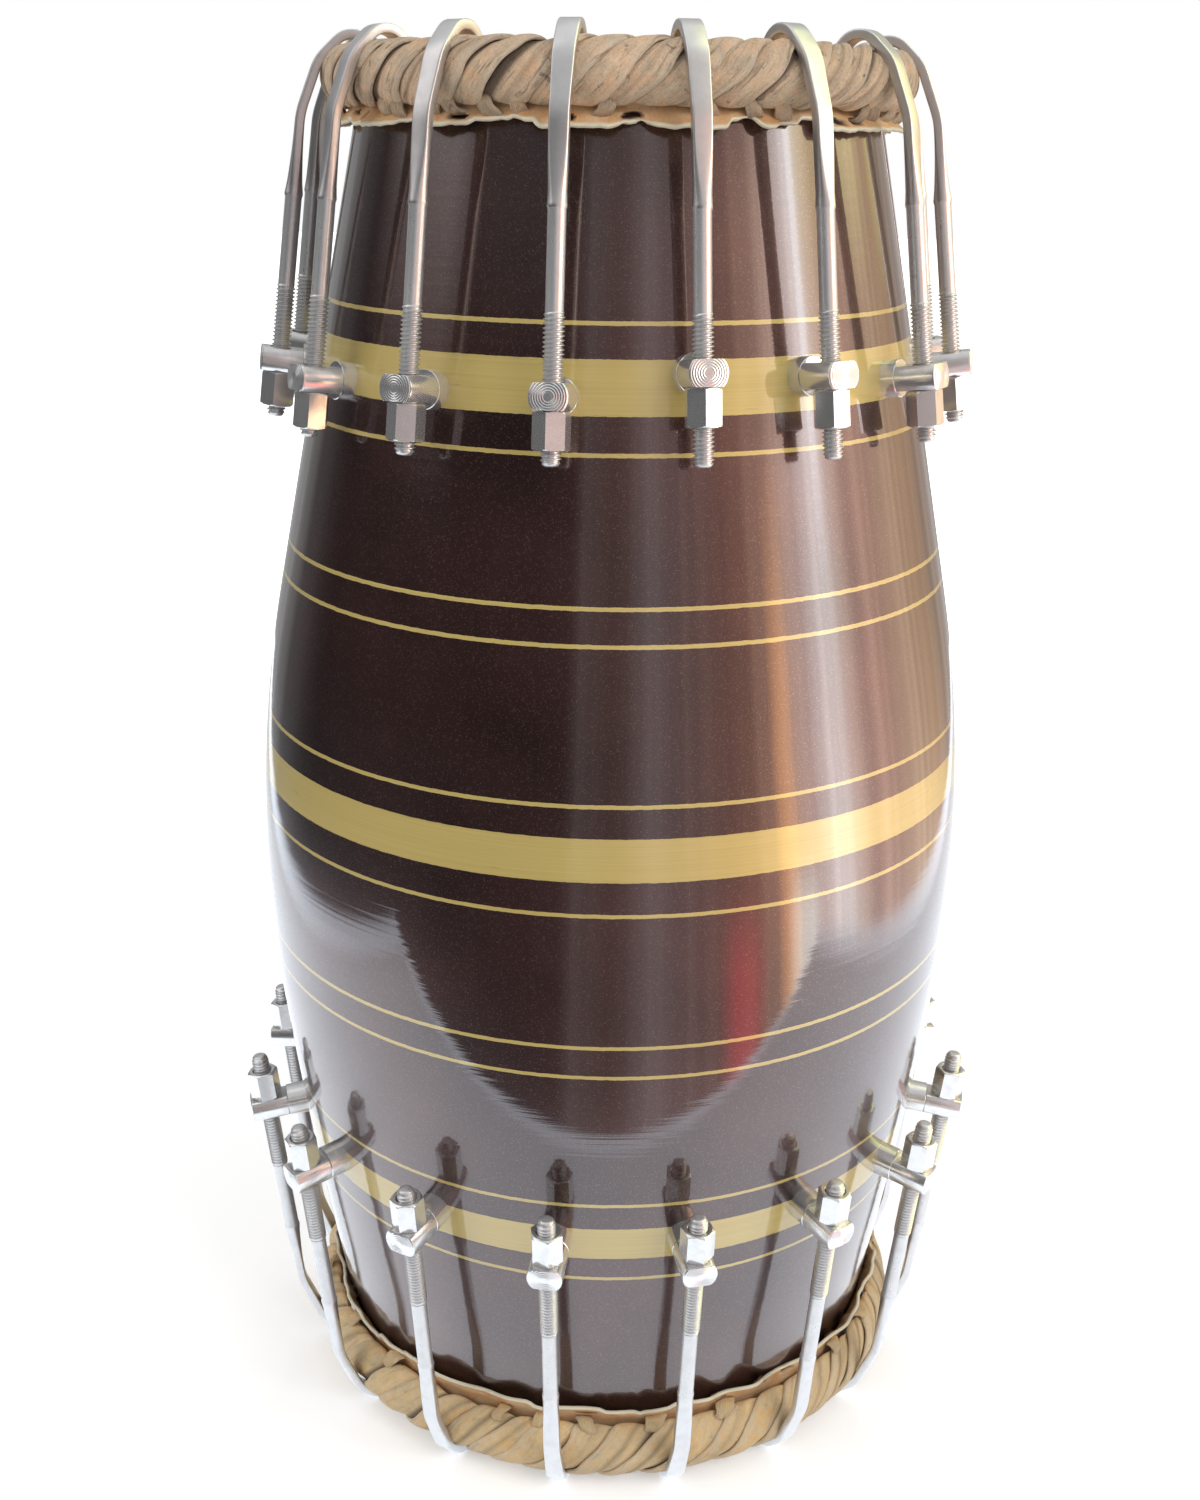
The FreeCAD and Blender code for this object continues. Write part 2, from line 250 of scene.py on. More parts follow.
def turned(outline: Sequence[Pair], steps: int, closed: bool = True) -> Shape:
    """A shape turned about the drum's axis from its outline.

    Args:
        outline: the radius and height of each point.
        steps: how many pieces the full turn has.
        closed: whether the last point joins the first.

    Returns:
        The mesh, with no doubled vertices.
    """
    bm = bmesh.new()
    verts = [bm.verts.new((radius, 0, height)) for radius, height in outline]
    for first, second in zip(verts, verts[1:]):
        bm.edges.new((first, second))
    if closed:
        bm.edges.new((verts[-1], verts[0]))
    bmesh.ops.spin(bm, geom=bm.verts[:] + bm.edges[:], cent=(0, 0, 0), axis=UP, dvec=(0, 0, 0),
                   angle=math.tau, steps=steps, use_merge=True, use_duplicate=False)
    bmesh.ops.remove_doubles(bm, verts=bm.verts[:], dist=WELD)
    return bm


def to_mesh(bm: Shape, name: str, finishes: Sequence[Finish], sharp: float = 32) -> bpy.types.Mesh:
    """Turns a bmesh into a mesh with smooth shading and sharp corners.

    Args:
        bm: the shape, which is freed.
        name: the mesh's name.
        finishes: its materials.
        sharp: the least angle of a sharp corner, in degrees.

    Returns:
        The mesh.
    """
    bmesh.ops.recalc_face_normals(bm, faces=bm.faces[:])
    mesh = bpy.data.meshes.new(name)
    bm.to_mesh(mesh)
    bm.free()
    for finish in finishes:
        mesh.materials.append(finish)
    mesh.shade_smooth()
    mesh.set_sharp_from_angle(angle=math.radians(sharp))
    return mesh


def add_piece(name: str, mesh: bpy.types.Mesh, body: str,
              stands_for: Sequence[str] = ()) -> bpy.types.Object:
    """Adds a finished piece, on its body and in place of its construction nodes.

    Args:
        name: the piece's name.
        mesh: its mesh, in the drum's frame.
        body: the body that it rides on.
        stands_for: the construction nodes that it replaces.

    Returns:
        The piece.
    """
    piece = bpy.data.objects.new(name, mesh)
    bpy.context.scene.collection.objects.link(piece)
    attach(piece, body)
    if stands_for:
        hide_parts(*stands_for)
    LOG.info("%s: %d faces, on %s", name, len(mesh.polygons), body)
    return piece


def thicken(piece: bpy.types.Object, thickness: float) -> None:
    """Gives a sheet its thickness in millimetres, below its face.

    Args:
        piece: the sheet.
        thickness: how thick it becomes.
    """
    wall = piece.modifiers.new("thickness", "SOLIDIFY")
    wall.thickness = thickness * METRES
    wall.offset = -1
    wall.use_even_offset = False


# The drum's measures.


@dataclass(frozen=True)
class ShellOutline:
    """The side of the shell in millimetres: a lower sweep, the belly's arc and a straight cone."""

    foot: float = 11.3
    head: float = 480.3
    belly_height: float = 211.094
    belly_radius: float = 128.6
    belly_sweep: float = 500.0
    cone_start: float = 310.778
    cone_radius: float = 118.562
    cone_slope: float = math.tan(math.radians(11.5))
    lower_end: float = 153.19
    lower_radius: float = -1861.308
    lower_height: float = 384.804
    lower_sweep: float = 2000.0

    def radius(self, height: float) -> float:
        """The shell's outer radius at a height above the ground.

        Args:
            height: the height, in millimetres.

        Returns:
            The radius, in millimetres.
        """
        if height > self.cone_start:
            return self.cone_radius - (height - self.cone_start) * self.cone_slope
        if height < self.lower_end:
            return self.lower_radius + math.sqrt(self.lower_sweep ** 2 - (height - self.lower_height) ** 2)
        rise = height - self.belly_height
        return self.belly_radius - self.belly_sweep + math.sqrt(self.belly_sweep ** 2 - rise ** 2)


OUTLINE = ShellOutline()


@dataclass(frozen=True)
class DrumEnd:
    """One end of the drum, with the measures that its head and hooks share."""

    name: EndName
    plait_width: float
    plait_height: float
    post_depth: float
    rod_standoff: float
    plait_rise: float = 5.0
    plait_crown: float = 6.5
    skin: float = 1.2
    rim_skin: float = 1.2
    strap_lean: float = math.radians(22)
    shoulder_lean: float = math.radians(47)
    strap_thickness: float = 3.0
    hook_gap: float = 0.3
    hook_rise: float = 6.3
    crown_reach: float = 3.6
    tip_reach: float = 7.2
    tip_drop: float = 3.2
    tip_gap: float = 1.0

    @property
    def turned_over(self) -> bool:
        """Whether this end faces the ground."""
        return self.name is EndName.BASS

    @property
    def mouth_height(self) -> float:
        """The mouth's height above the ground."""
        return OUTLINE.foot if self.turned_over else OUTLINE.head

    def wall(self, height: float) -> float:
        """The shell's outer radius at a height of this end's frame."""
        return OUTLINE.radius(self.mouth_height + (-height if self.turned_over else height))

    @property
    def drop(self) -> float:
        """How far the plait reaches past the mouth, towards the middle of the drum."""
        return self.plait_height - self.plait_rise

    @property
    def middle(self) -> float:
        """The height of the plait's middle."""
        return self.plait_rise - self.plait_height / 2

    @property
    def neck(self) -> float:
        """The shell's radius at the plait's inner edge."""
        return self.wall(-self.drop)

    @property
    def fold(self) -> float:
        """The outer radius of the rim skin where it turns over the lip."""
        return self.wall(0) + self.rim_skin

    @property
    def outer(self) -> float:
        """The plait's outer radius."""
        return self.wall(0) + self.plait_width

    @property
    def crown(self) -> float:
        """The radius of the plait's rounded outside."""
        return (self.plait_height ** 2 / 4 + self.plait_crown ** 2) / (2 * self.plait_crown)

    @property
    def crown_centre(self) -> Vector:
        """The centre of the plait's rounded outside."""
        return Vector((self.outer - self.crown, self.middle))

    @property
    def bend(self) -> Vector:
        """Where the hook's strap starts to lie round the plait.

        Returns:
            The point, in the plane of radius and height.
        """
        reach = self.crown + self.hook_gap + self.strap_thickness / 2
        below = self.drop + self.middle
        radius = self.crown_centre.x + (reach + below * math.sin(self.strap_lean)) / math.cos(self.strap_lean)
        return Vector((radius, -self.drop))

    @property
    def rod_at_post(self) -> Vector:
        """The point of the rod's axis at its post's mean place."""
        return Vector((self.wall(-self.post_depth) + self.rod_standoff, -self.post_depth))

    @property
    def along(self) -> Vector:
        """The direction of the rod, towards the head."""
        return (self.bend - self.rod_at_post).normalized()

    def on_rod(self, distance: float) -> Vector:
        """A point of the rod's axis at a distance from its post."""
        return self.rod_at_post + self.along * distance

    def strap_corners(self) -> list[Vector]:
        """The corners of the strap's middle line, from the bend over the plait to the tip.

        Returns:
            The corners, in the plane of radius and height.
        """
        half = (self.shoulder_lean - self.strap_lean) / 2
        facing = (self.shoulder_lean + self.strap_lean) / 2
        reach = (self.crown + self.hook_gap + self.strap_thickness / 2) / math.cos(half)
        shoulder = self.crown_centre + heading(facing) * reach
        top = self.plait_rise + self.hook_rise - self.strap_thickness / 2
        climb = Vector((-math.sin(self.shoulder_lean), math.cos(self.shoulder_lean)))
        crown_start = shoulder + climb * ((top - shoulder.y) / climb.y)
        crown_end = Vector((self.crown_centre.x - self.crown_reach, top))
        tip_turn = Vector((self.crown_centre.x - self.tip_reach, top - self.tip_drop))
        tip = Vector((tip_turn.x, self.skin + self.rim_skin + self.tip_gap))
        return [self.bend, shoulder, crown_start, crown_end, tip_turn, tip]

    def matrix(self, angle: float = 0.0) -> Matrix:
        """The move from this end's frame in millimetres to the drum's frame in metres.

        Args:
            angle: a turn about the drum's axis.

        Returns:
            The move.
        """
        over = Matrix.Rotation(math.pi, 4, "X") if self.turned_over else Matrix.Identity(4)
        lift = Matrix.Translation((0, 0, self.mouth_height))
        return Matrix.Scale(METRES, 4) @ Matrix.Rotation(angle, 4, "Z") @ lift @ over

    def rod_frame(self, distance: float, facing: Facing, roll: float = 0.0) -> Matrix:
        """A frame on the rod's axis.

        Args:
            distance: how far along the rod from its post.
            facing: where its Z axis points.
            roll: a turn about that Z axis.

        Returns:
            The move from that frame to the end's frame.
        """
        along = Vector((self.along.x, 0, self.along.y))
        out = Vector((self.along.y, 0, -self.along.x))
        side = Vector((0, 1, 0))
        columns = {Facing.ALONG: (out, side, along), Facing.BACK: (out, -side, -along),
                   Facing.OUT: (along, -side, out)}[facing]
        turn = Matrix(columns).transposed().to_4x4()
        point = self.on_rod(distance)
        return Matrix.Translation((point.x, 0, point.y)) @ turn @ Matrix.Rotation(roll, 4, "Z")


TREBLE = DrumEnd(EndName.TREBLE, plait_width=13.9, plait_height=18.6, post_depth=89.0, rod_standoff=12.4)
BASS = DrumEnd(EndName.BASS, plait_width=14.5, plait_height=21.0, post_depth=97.5, rod_standoff=14.6)
ENDS = (TREBLE, BASS)


@dataclass(frozen=True)
class Station:
    """One hook's place on an end: its angle round the drum and its post's shift along the rod."""

    end: DrumEnd
    number: int
    angle: float
    shift: float

    @property
    def label(self) -> str:
        """The station's two-figure number."""
        return f"{self.number:02d}"


def read_stations(end: DrumEnd, nut_reach: float = 9.65) -> list[Station]:
    """Reads the places of an end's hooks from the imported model's joints and nuts.

    Args:
        end: the end of the drum.
        nut_reach: from the post's middle to the nut's, in millimetres.

    Returns:
        The stations, in order.
    """
    joints = {joint["name"]: joint for joint in frame["joints"]}
    stations = []
    for number in range(1, STATIONS + 1):
        nut = f"{end.name.value}_nut_{number:02d}"
        joint = joints[nut + "_turn"]
        place, away = Vector(joint["pos_m"]), Vector(joint["axis"])
        low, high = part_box(nut)
        reach = ((low + high) / 2 - place).dot(away) / METRES
        stations.append(Station(end, number, math.atan2(place.y, place.x), nut_reach - reach))
    return stations


# Finishes.


class Graph:
    """A material's nodes, with short calls for what the finishes use."""

    def __init__(self, name: str) -> None:
        """Starts a material with its one shader.

        Args:
            name: the material's name.
        """
        self.material = bpy.data.materials.new(name)
        self.material.use_nodes = True
        self.nodes = self.material.node_tree.nodes
        self.links = self.material.node_tree.links
        self.shader = self.nodes["Principled BSDF"]

    def node(self, kind: str, **settings: object) -> bpy.types.Node:
        """Adds a node with its settings.

        Args:
            kind: the shader node's kind.
            settings: its properties by name.

        Returns:
            The node.
        """
        made = self.nodes.new("ShaderNode" + kind)
        for key, value in settings.items():
            setattr(made, key, value)
        return made

    def feed(self, socket: Socket, value: object) -> None:
        """Links a socket or sets its value.

        Args:
            socket: the input.
            value: an output to link, or a value.
        """
        if isinstance(value, Socket):
            self.links.new(value, socket)
        else:
            socket.default_value = value

    def place(self, scale: Triple = (1000, 1000, 1000)) -> Socket:
        """The place on the drum, in millimetres unless another scale is given.

        Args:
            scale: the scale of each axis, from metres.

        Returns:
            the output that carries it.
        """
        mapping = self.node("Mapping")
        mapping.inputs["Scale"].default_value = scale
        self.links.new(self.node("TexCoord").outputs["Object"], mapping.inputs["Vector"])
        return mapping.outputs["Vector"]

    def along_strap(self, scale: Triple) -> Socket:
        """The place on a strap from the piece's own map: across, then along.

        Args:
            scale: the scale across the strap and along it, and a third that nothing reads.

        Returns:
            the output that carries it.
        """
        mapping = self.node("Mapping")
        mapping.inputs["Scale"].default_value = scale
        self.links.new(self.node("UVMap", uv_map="strap").outputs["UV"], mapping.inputs["Vector"])
        return mapping.outputs["Vector"]

    def attribute(self, name: str) -> Socket:
        """A number kept on the mesh."""
        return self.node("Attribute", attribute_name=name).outputs["Fac"]

    def parts(self, vector: Socket) -> Sequence[Socket]:
        """A place split into its three numbers.

        Args:
            vector: the place.

        Returns:
            The outputs for X, Y and Z.
        """
        split = self.node("SeparateXYZ")
        self.links.new(vector, split.inputs[0])
        return split.outputs

    def math(self, operation: str, *values: object, clamp: bool = False) -> Socket:
        """One sum on numbers.

        Args:
            operation: the sum's kind.
            values: what goes into it.
            clamp: whether it is held between 0 and 1.

        Returns:
            the output that carries it.
        """
        made = self.node("Math", operation=operation, use_clamp=clamp)
        for socket, value in zip(made.inputs, values):
            self.feed(socket, value)
        return made.outputs[0]

    def noise(self, vector: Socket, scale: float, detail: float = 3,
              roughness: float = 0.55, distortion: float = 0) -> Socket:
        """A cloudy value between 0 and 1.

        Args:
            vector: the place.
            scale: how fine it is.
            detail: how many finer layers it has.
            roughness: how strong those are.
            distortion: how far it is pulled about.

        Returns:
            the output that carries it.
        """
        made = self.node("TexNoise")
        self.links.new(vector, made.inputs["Vector"])
        made.inputs["Scale"].default_value = scale
        made.inputs["Detail"].default_value = detail
        made.inputs["Roughness"].default_value = roughness
        made.inputs["Distortion"].default_value = distortion
        return made.outputs["Fac"]

    def cells(self, vector: Socket, scale: float) -> bpy.types.Node:
        """A pattern of cells.

        Args:
            vector: the place.
            scale: how small the cells are.

        Returns:
            The node, for its distance and colour.
        """
        made = self.node("TexVoronoi")
        self.links.new(vector, made.inputs["Vector"])
        made.inputs["Scale"].default_value = scale
        return made

    def spread(self, value: object, low: float, high: float, to_low: float = 0, to_high: float = 1) -> Socket:
        """A value carried from one span to another and held within it.

        Args:
            value: the value.
            low: the start of its span.
            high: the end of its span.
            to_low: the start of the new span.
            to_high: the end of the new span.

        Returns:
            the output that carries it.
        """
        made = self.node("MapRange")
        for socket, given in zip(made.inputs, (value, low, high, to_low, to_high)):
            self.feed(socket, given)
        return made.outputs[0]

    def blend(self, share: object, first: object, second: object, kind: str = "MIX") -> Socket:
        """Two colours mixed by a share.

        Args:
            share: how much of the second there is.
            first: a colour or an output.
            second: a colour or an output.
            kind: how the two are mixed.

        Returns:
            the output that carries it.
        """
        made = self.node("Mix", data_type="RGBA", blend_type=kind, clamp_factor=True)
        self.feed(made.inputs["Factor"], share)
        for socket, value in ((made.inputs[6], first), (made.inputs[7], second)):
            self.feed(socket, (*value, 1) if isinstance(value, tuple) else value)
        return made.outputs[2]

    def bump(self, height: Socket, depth: float, strength: float = 1.0,
             under: Socket | None = None) -> Socket:
        """Small relief, in metres of depth.

        Args:
            height: the relief, from 0 to 1.
            depth: its depth.
            strength: its share of that depth.
            under: the normal that it lies on.

        Returns:
            The normal.
        """
        made = self.node("Bump")
        made.inputs["Strength"].default_value = strength
        made.inputs["Distance"].default_value = depth
        self.links.new(height, made.inputs["Height"])
        if under is not None:
            self.links.new(under, made.inputs["Normal"])
        return made.outputs["Normal"]

    def finish(self, **values: object) -> Finish:
        """Sets the shader's sockets, named with underscores, and gives the material.

        Args:
            values: a value or an output for each socket.

        Returns:
            The material.
        """
        for key, value in values.items():
            if isinstance(value, tuple):
                value = (*value, 1)
            self.feed(self.shader.inputs[key.replace("_", " ")], value)
        return self.material


@dataclass(frozen=True)
class Lacquer:
    """Dark red lacquer full of fine flake, under a clear gloss, with gold rings painted on it."""

    dark: Colour = (0.036, 0.0155, 0.0145)
    light: Colour = (0.070, 0.030, 0.028)
    flake: Colour = (0.55, 0.42, 0.38)
    gold: Colour = (0.62, 0.48, 0.155)
    gold_dark: Colour = (0.46, 0.34, 0.10)
    flake_share: float = 0.15
    wear_share: float = 0.45
    wobble: float = 0.22
    metal: Pair = (0.6, 0.18)
    roughness: Pair = (0.31, 0.45)
    coat_roughness: float = 0.045
    coat_ior: float = 1.75
    coat_ridges: float = 0.00004
    flake_relief: float = 0.00003
    line_width: float = 1.3
    lines: tuple[float, ...] = (93.3, 125.3, 177.3, 188.3, 234.3, 269.3, 317.3, 328.3, 372.3, 409.3)
    bands: tuple[Pair, ...] = ((102.3, 115.3), (245.3, 259.3), (383.3, 399.3))

    def rings(self, graph: Graph, height: Socket) -> Socket:
        """The painted rings.

        Args:
            graph: the material's nodes.
            height: the height on the shell, in millimetres.

        Returns:
            A value of 1 on every ring.
        """
        half = self.line_width / 2
        total: object = 0.0
        for low, high in [(line - half, line + half) for line in self.lines] + list(self.bands):
            on_ring = graph.math("COMPARE", height, (low + high) / 2, (high - low) / 2)
            total = graph.math("MAXIMUM", total, on_ring)
        return total

    def make(self) -> Finish:
        """Builds the material.

        Returns:
            The material.
        """
        graph = Graph("lacquer")
        place = graph.place()
        height = graph.parts(place)[2]
        ragged = graph.math("ADD", height, graph.spread(graph.noise(place, 0.35, 2), 0, 1,
                                                         -self.wobble, self.wobble))
        gold = self.rings(graph, ragged)
        lathe = graph.noise(graph.place((14, 14, 2600)), 1.0, 2, 0.6)
        worn = graph.spread(graph.noise(graph.place((60, 60, 700)), 1.0, 4, 0.7), 0.66, 0.78)
        cloud = graph.noise(place, 0.018, 3)
        base = graph.blend(graph.spread(cloud, 0.35, 0.7), self.dark, self.light)
        speck = graph.cells(place, 3.4)
        bright = graph.spread(graph.parts(speck.outputs["Color"])[0], 0.86, 1.0)
        base = graph.blend(graph.math("MULTIPLY", bright, self.flake_share), base, self.flake)
        painted = graph.blend(lathe, self.gold_dark, self.gold)
        kept = graph.math("SUBTRACT", 1.0, graph.math("MULTIPLY", worn, self.wear_share))
        cover = graph.math("MULTIPLY", gold, kept)
        colour = graph.blend(cover, base, painted)
        tilt = self.flake_tilt(graph, speck)
        return graph.finish(
            Base_Color=colour, Metallic=graph.spread(cover, 0, 1, *self.metal),
            Roughness=graph.spread(cover, 0, 1, *self.roughness), Normal=tilt,
            Coat_Weight=1.0, Coat_Roughness=self.coat_roughness, Coat_IOR=self.coat_ior,
            Coat_Normal=graph.bump(graph.noise(graph.place((4, 4, 420)), 1.0, 3, 0.6), self.coat_ridges))

    def flake_tilt(self, graph: Graph, speck: bpy.types.Node) -> Socket:
        """The flakes' own tilts, over the faint turning marks of the wood.

        Args:
            graph: the material's nodes.
            speck: the cells that stand for the flakes.

        Returns:
            The normal below the clear gloss.
        """
        marks = graph.bump(graph.noise(graph.place((3, 3, 900)), 1.0, 2), self.flake_relief, 0.5)
        return graph.bump(graph.parts(speck.outputs["Color"])[1], self.flake_relief, 0.3, marks)


@dataclass(frozen=True)
class BoredWood:
    """Raw jackwood inside the shell, with its grain up the drum."""

    dark: Colour = (0.34, 0.17, 0.055)
    light: Colour = (0.55, 0.31, 0.11)

    def make(self) -> Finish:
        """Builds the material.

        Returns:
            The material.
        """
        graph = Graph("bored_wood")
        grain = graph.noise(graph.place((420, 420, 14)), 1.0, 5, 0.65, 0.4)
        pores = graph.noise(graph.place((1500, 1500, 60)), 1.0, 2)
        colour = graph.blend(graph.spread(grain, 0.3, 0.7), self.dark, self.light)
        return graph.finish(Base_Color=colour, Roughness=graph.spread(pores, 0, 1, 0.55, 0.8),
                            Normal=graph.bump(grain, 0.0003, 0.6))


class SteelKind(Enum):
    """How a steel surface was left."""

    ROLLED = "rolled_bar"
    FORGED = "forged_strap"
    TURNED = "turned_post"
    NUT = "drawn_nut"
    HOOP = "hoop_bar"


@dataclass(frozen=True)
class PlatedSteel:
    """Bright plating over steel, brushed or turned, with grime in its scratches."""

    kind: SteelKind
    colour: Colour = (0.64, 0.645, 0.65)
    dull: Colour = (0.40, 0.385, 0.37)
    roughness: float = 0.28
    uneven: float = 0.03
    shine: float = 0.86
    grain: Triple = (1500, 1500, 60)
    relief: float = 0.0000015
    blotch_share: float = 0.24
    pit_share: float = 0.12
    lathe_rate: float = 8.5
    lathe_relief: float = 0.00009

    def make(self) -> Finish:
        """Builds the material.

        Returns:
            The material.
        """
        graph = Graph(self.kind.value)
        place = graph.place()
        brushed = graph.noise(graph.place(self.grain), 1.0, 3, 0.6)
        blotch = graph.spread(graph.noise(place, 0.22, 4, 0.65), 0.45, 0.75)
        pits = graph.spread(graph.noise(place, 0.9, 2), 0.68, 0.78)
        colour = graph.blend(graph.math("MULTIPLY", blotch, self.blotch_share), self.colour, self.dull)
        colour = graph.blend(graph.math("MULTIPLY", pits, self.pit_share), colour, self.dull)
        even = graph.spread(brushed, 0, 1, self.roughness - self.uneven, self.roughness + self.uneven)
        rough = graph.math("ADD", even, graph.math("MULTIPLY", blotch, 0.06))
        relief = graph.bump(brushed, self.relief, 0.8)
        if self.kind is SteelKind.TURNED:
            rings = graph.math("SINE", graph.math("MULTIPLY", graph.attribute("lathe"), self.lathe_rate))
            relief = graph.bump(rings, self.lathe_relief, 0.7, relief)
        return graph.finish(Base_Color=colour, Metallic=self.shine, Roughness=rough, Normal=relief)


@dataclass(frozen=True)
class StrapHide:
    """Dry raw hide straps: grey-tan and stained, with orange along their creases, painted shade under their
    laps, in their grooves and on the packing, and pale outer edges from wear and a painted highlight.
    """

    name: str
    tan: Colour
    grey: Colour
    crease: Colour
    # Used for stains, and for the painted shade in the wrinkles' grooves.
    stain_and_groove_shade: Colour = (0.120, 0.088, 0.068)
    # The pale of bleached patches, and of the outer edges, which shows wear and a painted highlight.
    bleach_and_edge_highlight: Colour = (0.62, 0.54, 0.43)
    # The colour of the painted shade: under a neighbour's edge, in a fold's groove, at the short ends and on
    # the packing.
    lap: Colour = (0.030, 0.018, 0.012)
    # How strong the stains, the painted shade in the grooves and the grain's relief are.
    soil_and_shade: float = 1.0
    wrinkled: float = 0.0016

    def make(self) -> Finish:
        """Builds the material.

        Returns:
            The material.
        """
        graph = Graph(self.name)
        place = graph.place()
        lap = graph.attribute("lap")
        cloud = graph.noise(place, 0.13, 5, 0.68, 0.6)
        share = graph.math("ADD", graph.math("MULTIPLY", graph.attribute("tone"), 0.42),
                           graph.spread(cloud, 0.36, 0.64, -0.15, 0.75))
        colour = graph.blend(graph.math("MULTIPLY", share, 1.0, clamp=True), self.grey, self.tan)
        fibre = graph.noise(graph.along_strap((8.0, 0.9, 1)), 1.0, 5, 0.66, 0.5)
        patch = graph.noise(place, 0.21, 5, 0.66, 0.8)
        colour = graph.blend(graph.spread(patch, 0.52, 0.66, 0, 0.72), colour, self.crease)
        colour = graph.blend(graph.spread(fibre, 0.56, 0.72, 0, 0.5), colour, self.crease)
        grain = graph.noise(place, 1.5, 5, 0.72)
        colour = graph.blend(graph.spread(grain, 0.44, 0.72, 0, 0.36 * self.soil_and_shade), colour, self.stain_and_groove_shade)
        bleached = graph.spread(graph.noise(place, 0.9, 4, 0.7), 0.54, 0.72, 0, 0.32)
        # Paler in bleached patches, and on the outer edges from the worn layer: wear and a painted highlight.
        colour = graph.blend(graph.math("MAXIMUM", bleached, graph.attribute("worn")), colour, self.bleach_and_edge_highlight)
        # Painted shade in the grooves of the lengthwise wrinkles, where the relief is low.
        colour = graph.blend(graph.spread(fibre, 0.44, 0.34, 0, 0.6 * self.soil_and_shade), colour, self.stain_and_groove_shade)
        spots = graph.spread(graph.noise(place, 0.27, 4, 0.62, 0.5), 0.63, 0.70, 0, 0.7 * self.soil_and_shade)
        colour = graph.blend(spots, colour, self.stain_and_groove_shade)
        # Painted shade, from the lap layer: under a neighbour's edge, in folds, at the short ends' ends and
        # all over the packing.
        colour = graph.blend(graph.math("MULTIPLY", lap, 0.85), colour, self.lap)
        long_relief = graph.bump(fibre, self.wrinkled, 0.9)
        relief = graph.bump(grain, 0.0003, 0.7 * self.soil_and_shade, long_relief)
        return graph.finish(Base_Color=colour, Roughness=graph.spread(grain, 0.2, 0.8, 0.52, 0.74),
                            Normal=relief, Specular_IOR_Level=0.35)


@dataclass(frozen=True)
class RimHide:
    """Thick dry hide: orange-cream, with a pale cut edge, and painted shade in its slots."""

    cream: Colour = (0.70, 0.47, 0.27)
    amber: Colour = (0.62, 0.31, 0.12)
    pale: Colour = (0.74, 0.72, 0.56)
    soil: Colour = (0.20, 0.11, 0.06)
    # The near-black of the painted shade in the slots.
    slot: Colour = (0.012, 0.008, 0.007)

    def make(self) -> Finish:
        """Builds the material.

        Returns:
            The material.
        """
        graph = Graph("rim_hide")
        place = graph.place()
        cloud = graph.noise(place, 0.11, 4, 0.6, 0.5)
        fine = graph.noise(place, 1.3, 4, 0.65)
        colour = graph.blend(graph.spread(cloud, 0.38, 0.68), self.cream, self.amber)
        colour = graph.blend(graph.spread(fine, 0.5, 0.8, 0, 0.4), colour, self.soil)
        colour = graph.blend(graph.attribute("cut_edge"), colour, self.pale)
        # Painted shade in the slots.
        colour = graph.blend(graph.attribute("slot_shade"), colour, self.slot)
        relief = graph.bump(fine, 0.00018, 0.6, graph.bump(cloud, 0.0009, 0.6))
        return graph.finish(Base_Color=colour, Roughness=graph.spread(fine, 0.2, 0.8, 0.42, 0.6),
                            Normal=relief, Specular_IOR_Level=0.4)


@dataclass(frozen=True)
class PlayingHide:
    """Scraped goat skin: pale, with fine grain, faint hair roots and a few veins."""

    pale: Colour = (0.80, 0.72, 0.56)
    warm: Colour = (0.66, 0.52, 0.34)
    vein: Colour = (0.50, 0.36, 0.22)

    def make(self) -> Finish:
        """Builds the material.

        Returns:
            The material.
        """
        graph = Graph("playing_hide")
        place = graph.place()
        cloud = graph.noise(place, 0.045, 5, 0.6, 0.4)
        roots = graph.spread(graph.cells(place, 0.8).outputs["Distance"], 0.0, 0.22, 1, 0)
        veins = graph.spread(graph.math("ABSOLUTE", graph.math("SUBTRACT", cloud, 0.5)), 0, 0.012, 0.45, 0)
        colour = graph.blend(graph.spread(cloud, 0.35, 0.7), self.pale, self.warm)
        colour = graph.blend(veins, colour, self.vein)
        colour = graph.blend(graph.math("MULTIPLY", roots, 0.22), colour, self.vein)
        return graph.finish(Base_Color=colour, Roughness=graph.spread(cloud, 0.3, 0.7, 0.42, 0.6),
                            Normal=graph.bump(graph.noise(place, 1.1, 4, 0.6), 0.0001, 0.7))


@dataclass(frozen=True)
class BlackPaste:
    """The rubbed black paste of the tuning patch, with fine cracks, and greyer patches that stand for wear
    and a painted sheen.
    """

    black: Colour = (0.012, 0.012, 0.013)
    # The grey of the worn patches, which also stand for a painted sheen.
    worn: Colour = (0.055, 0.052, 0.050)

    def make(self) -> Finish:
        """Builds the material.

        Returns:
            The material.
        """
        graph = Graph("black_paste")
        place = graph.place()
        cracks = graph.node("TexVoronoi", feature="DISTANCE_TO_EDGE")
        graph.links.new(place, cracks.inputs["Vector"])
        cracks.inputs["Scale"].default_value = 0.42
        split = graph.spread(cracks.outputs["Distance"], 0, 0.06, 1, 0)
        cloud = graph.noise(place, 0.08, 4, 0.6)
        # Greyer in patches: wear and a painted sheen.
        colour = graph.blend(graph.spread(cloud, 0.4, 0.75, 0, 0.8), self.black, self.worn)
        relief = graph.bump(split, 0.00025, 0.7)
        relief.node.invert = True
        return graph.finish(Base_Color=colour, Roughness=graph.spread(cloud, 0.3, 0.7, 0.24, 0.5),
                            Normal=relief)


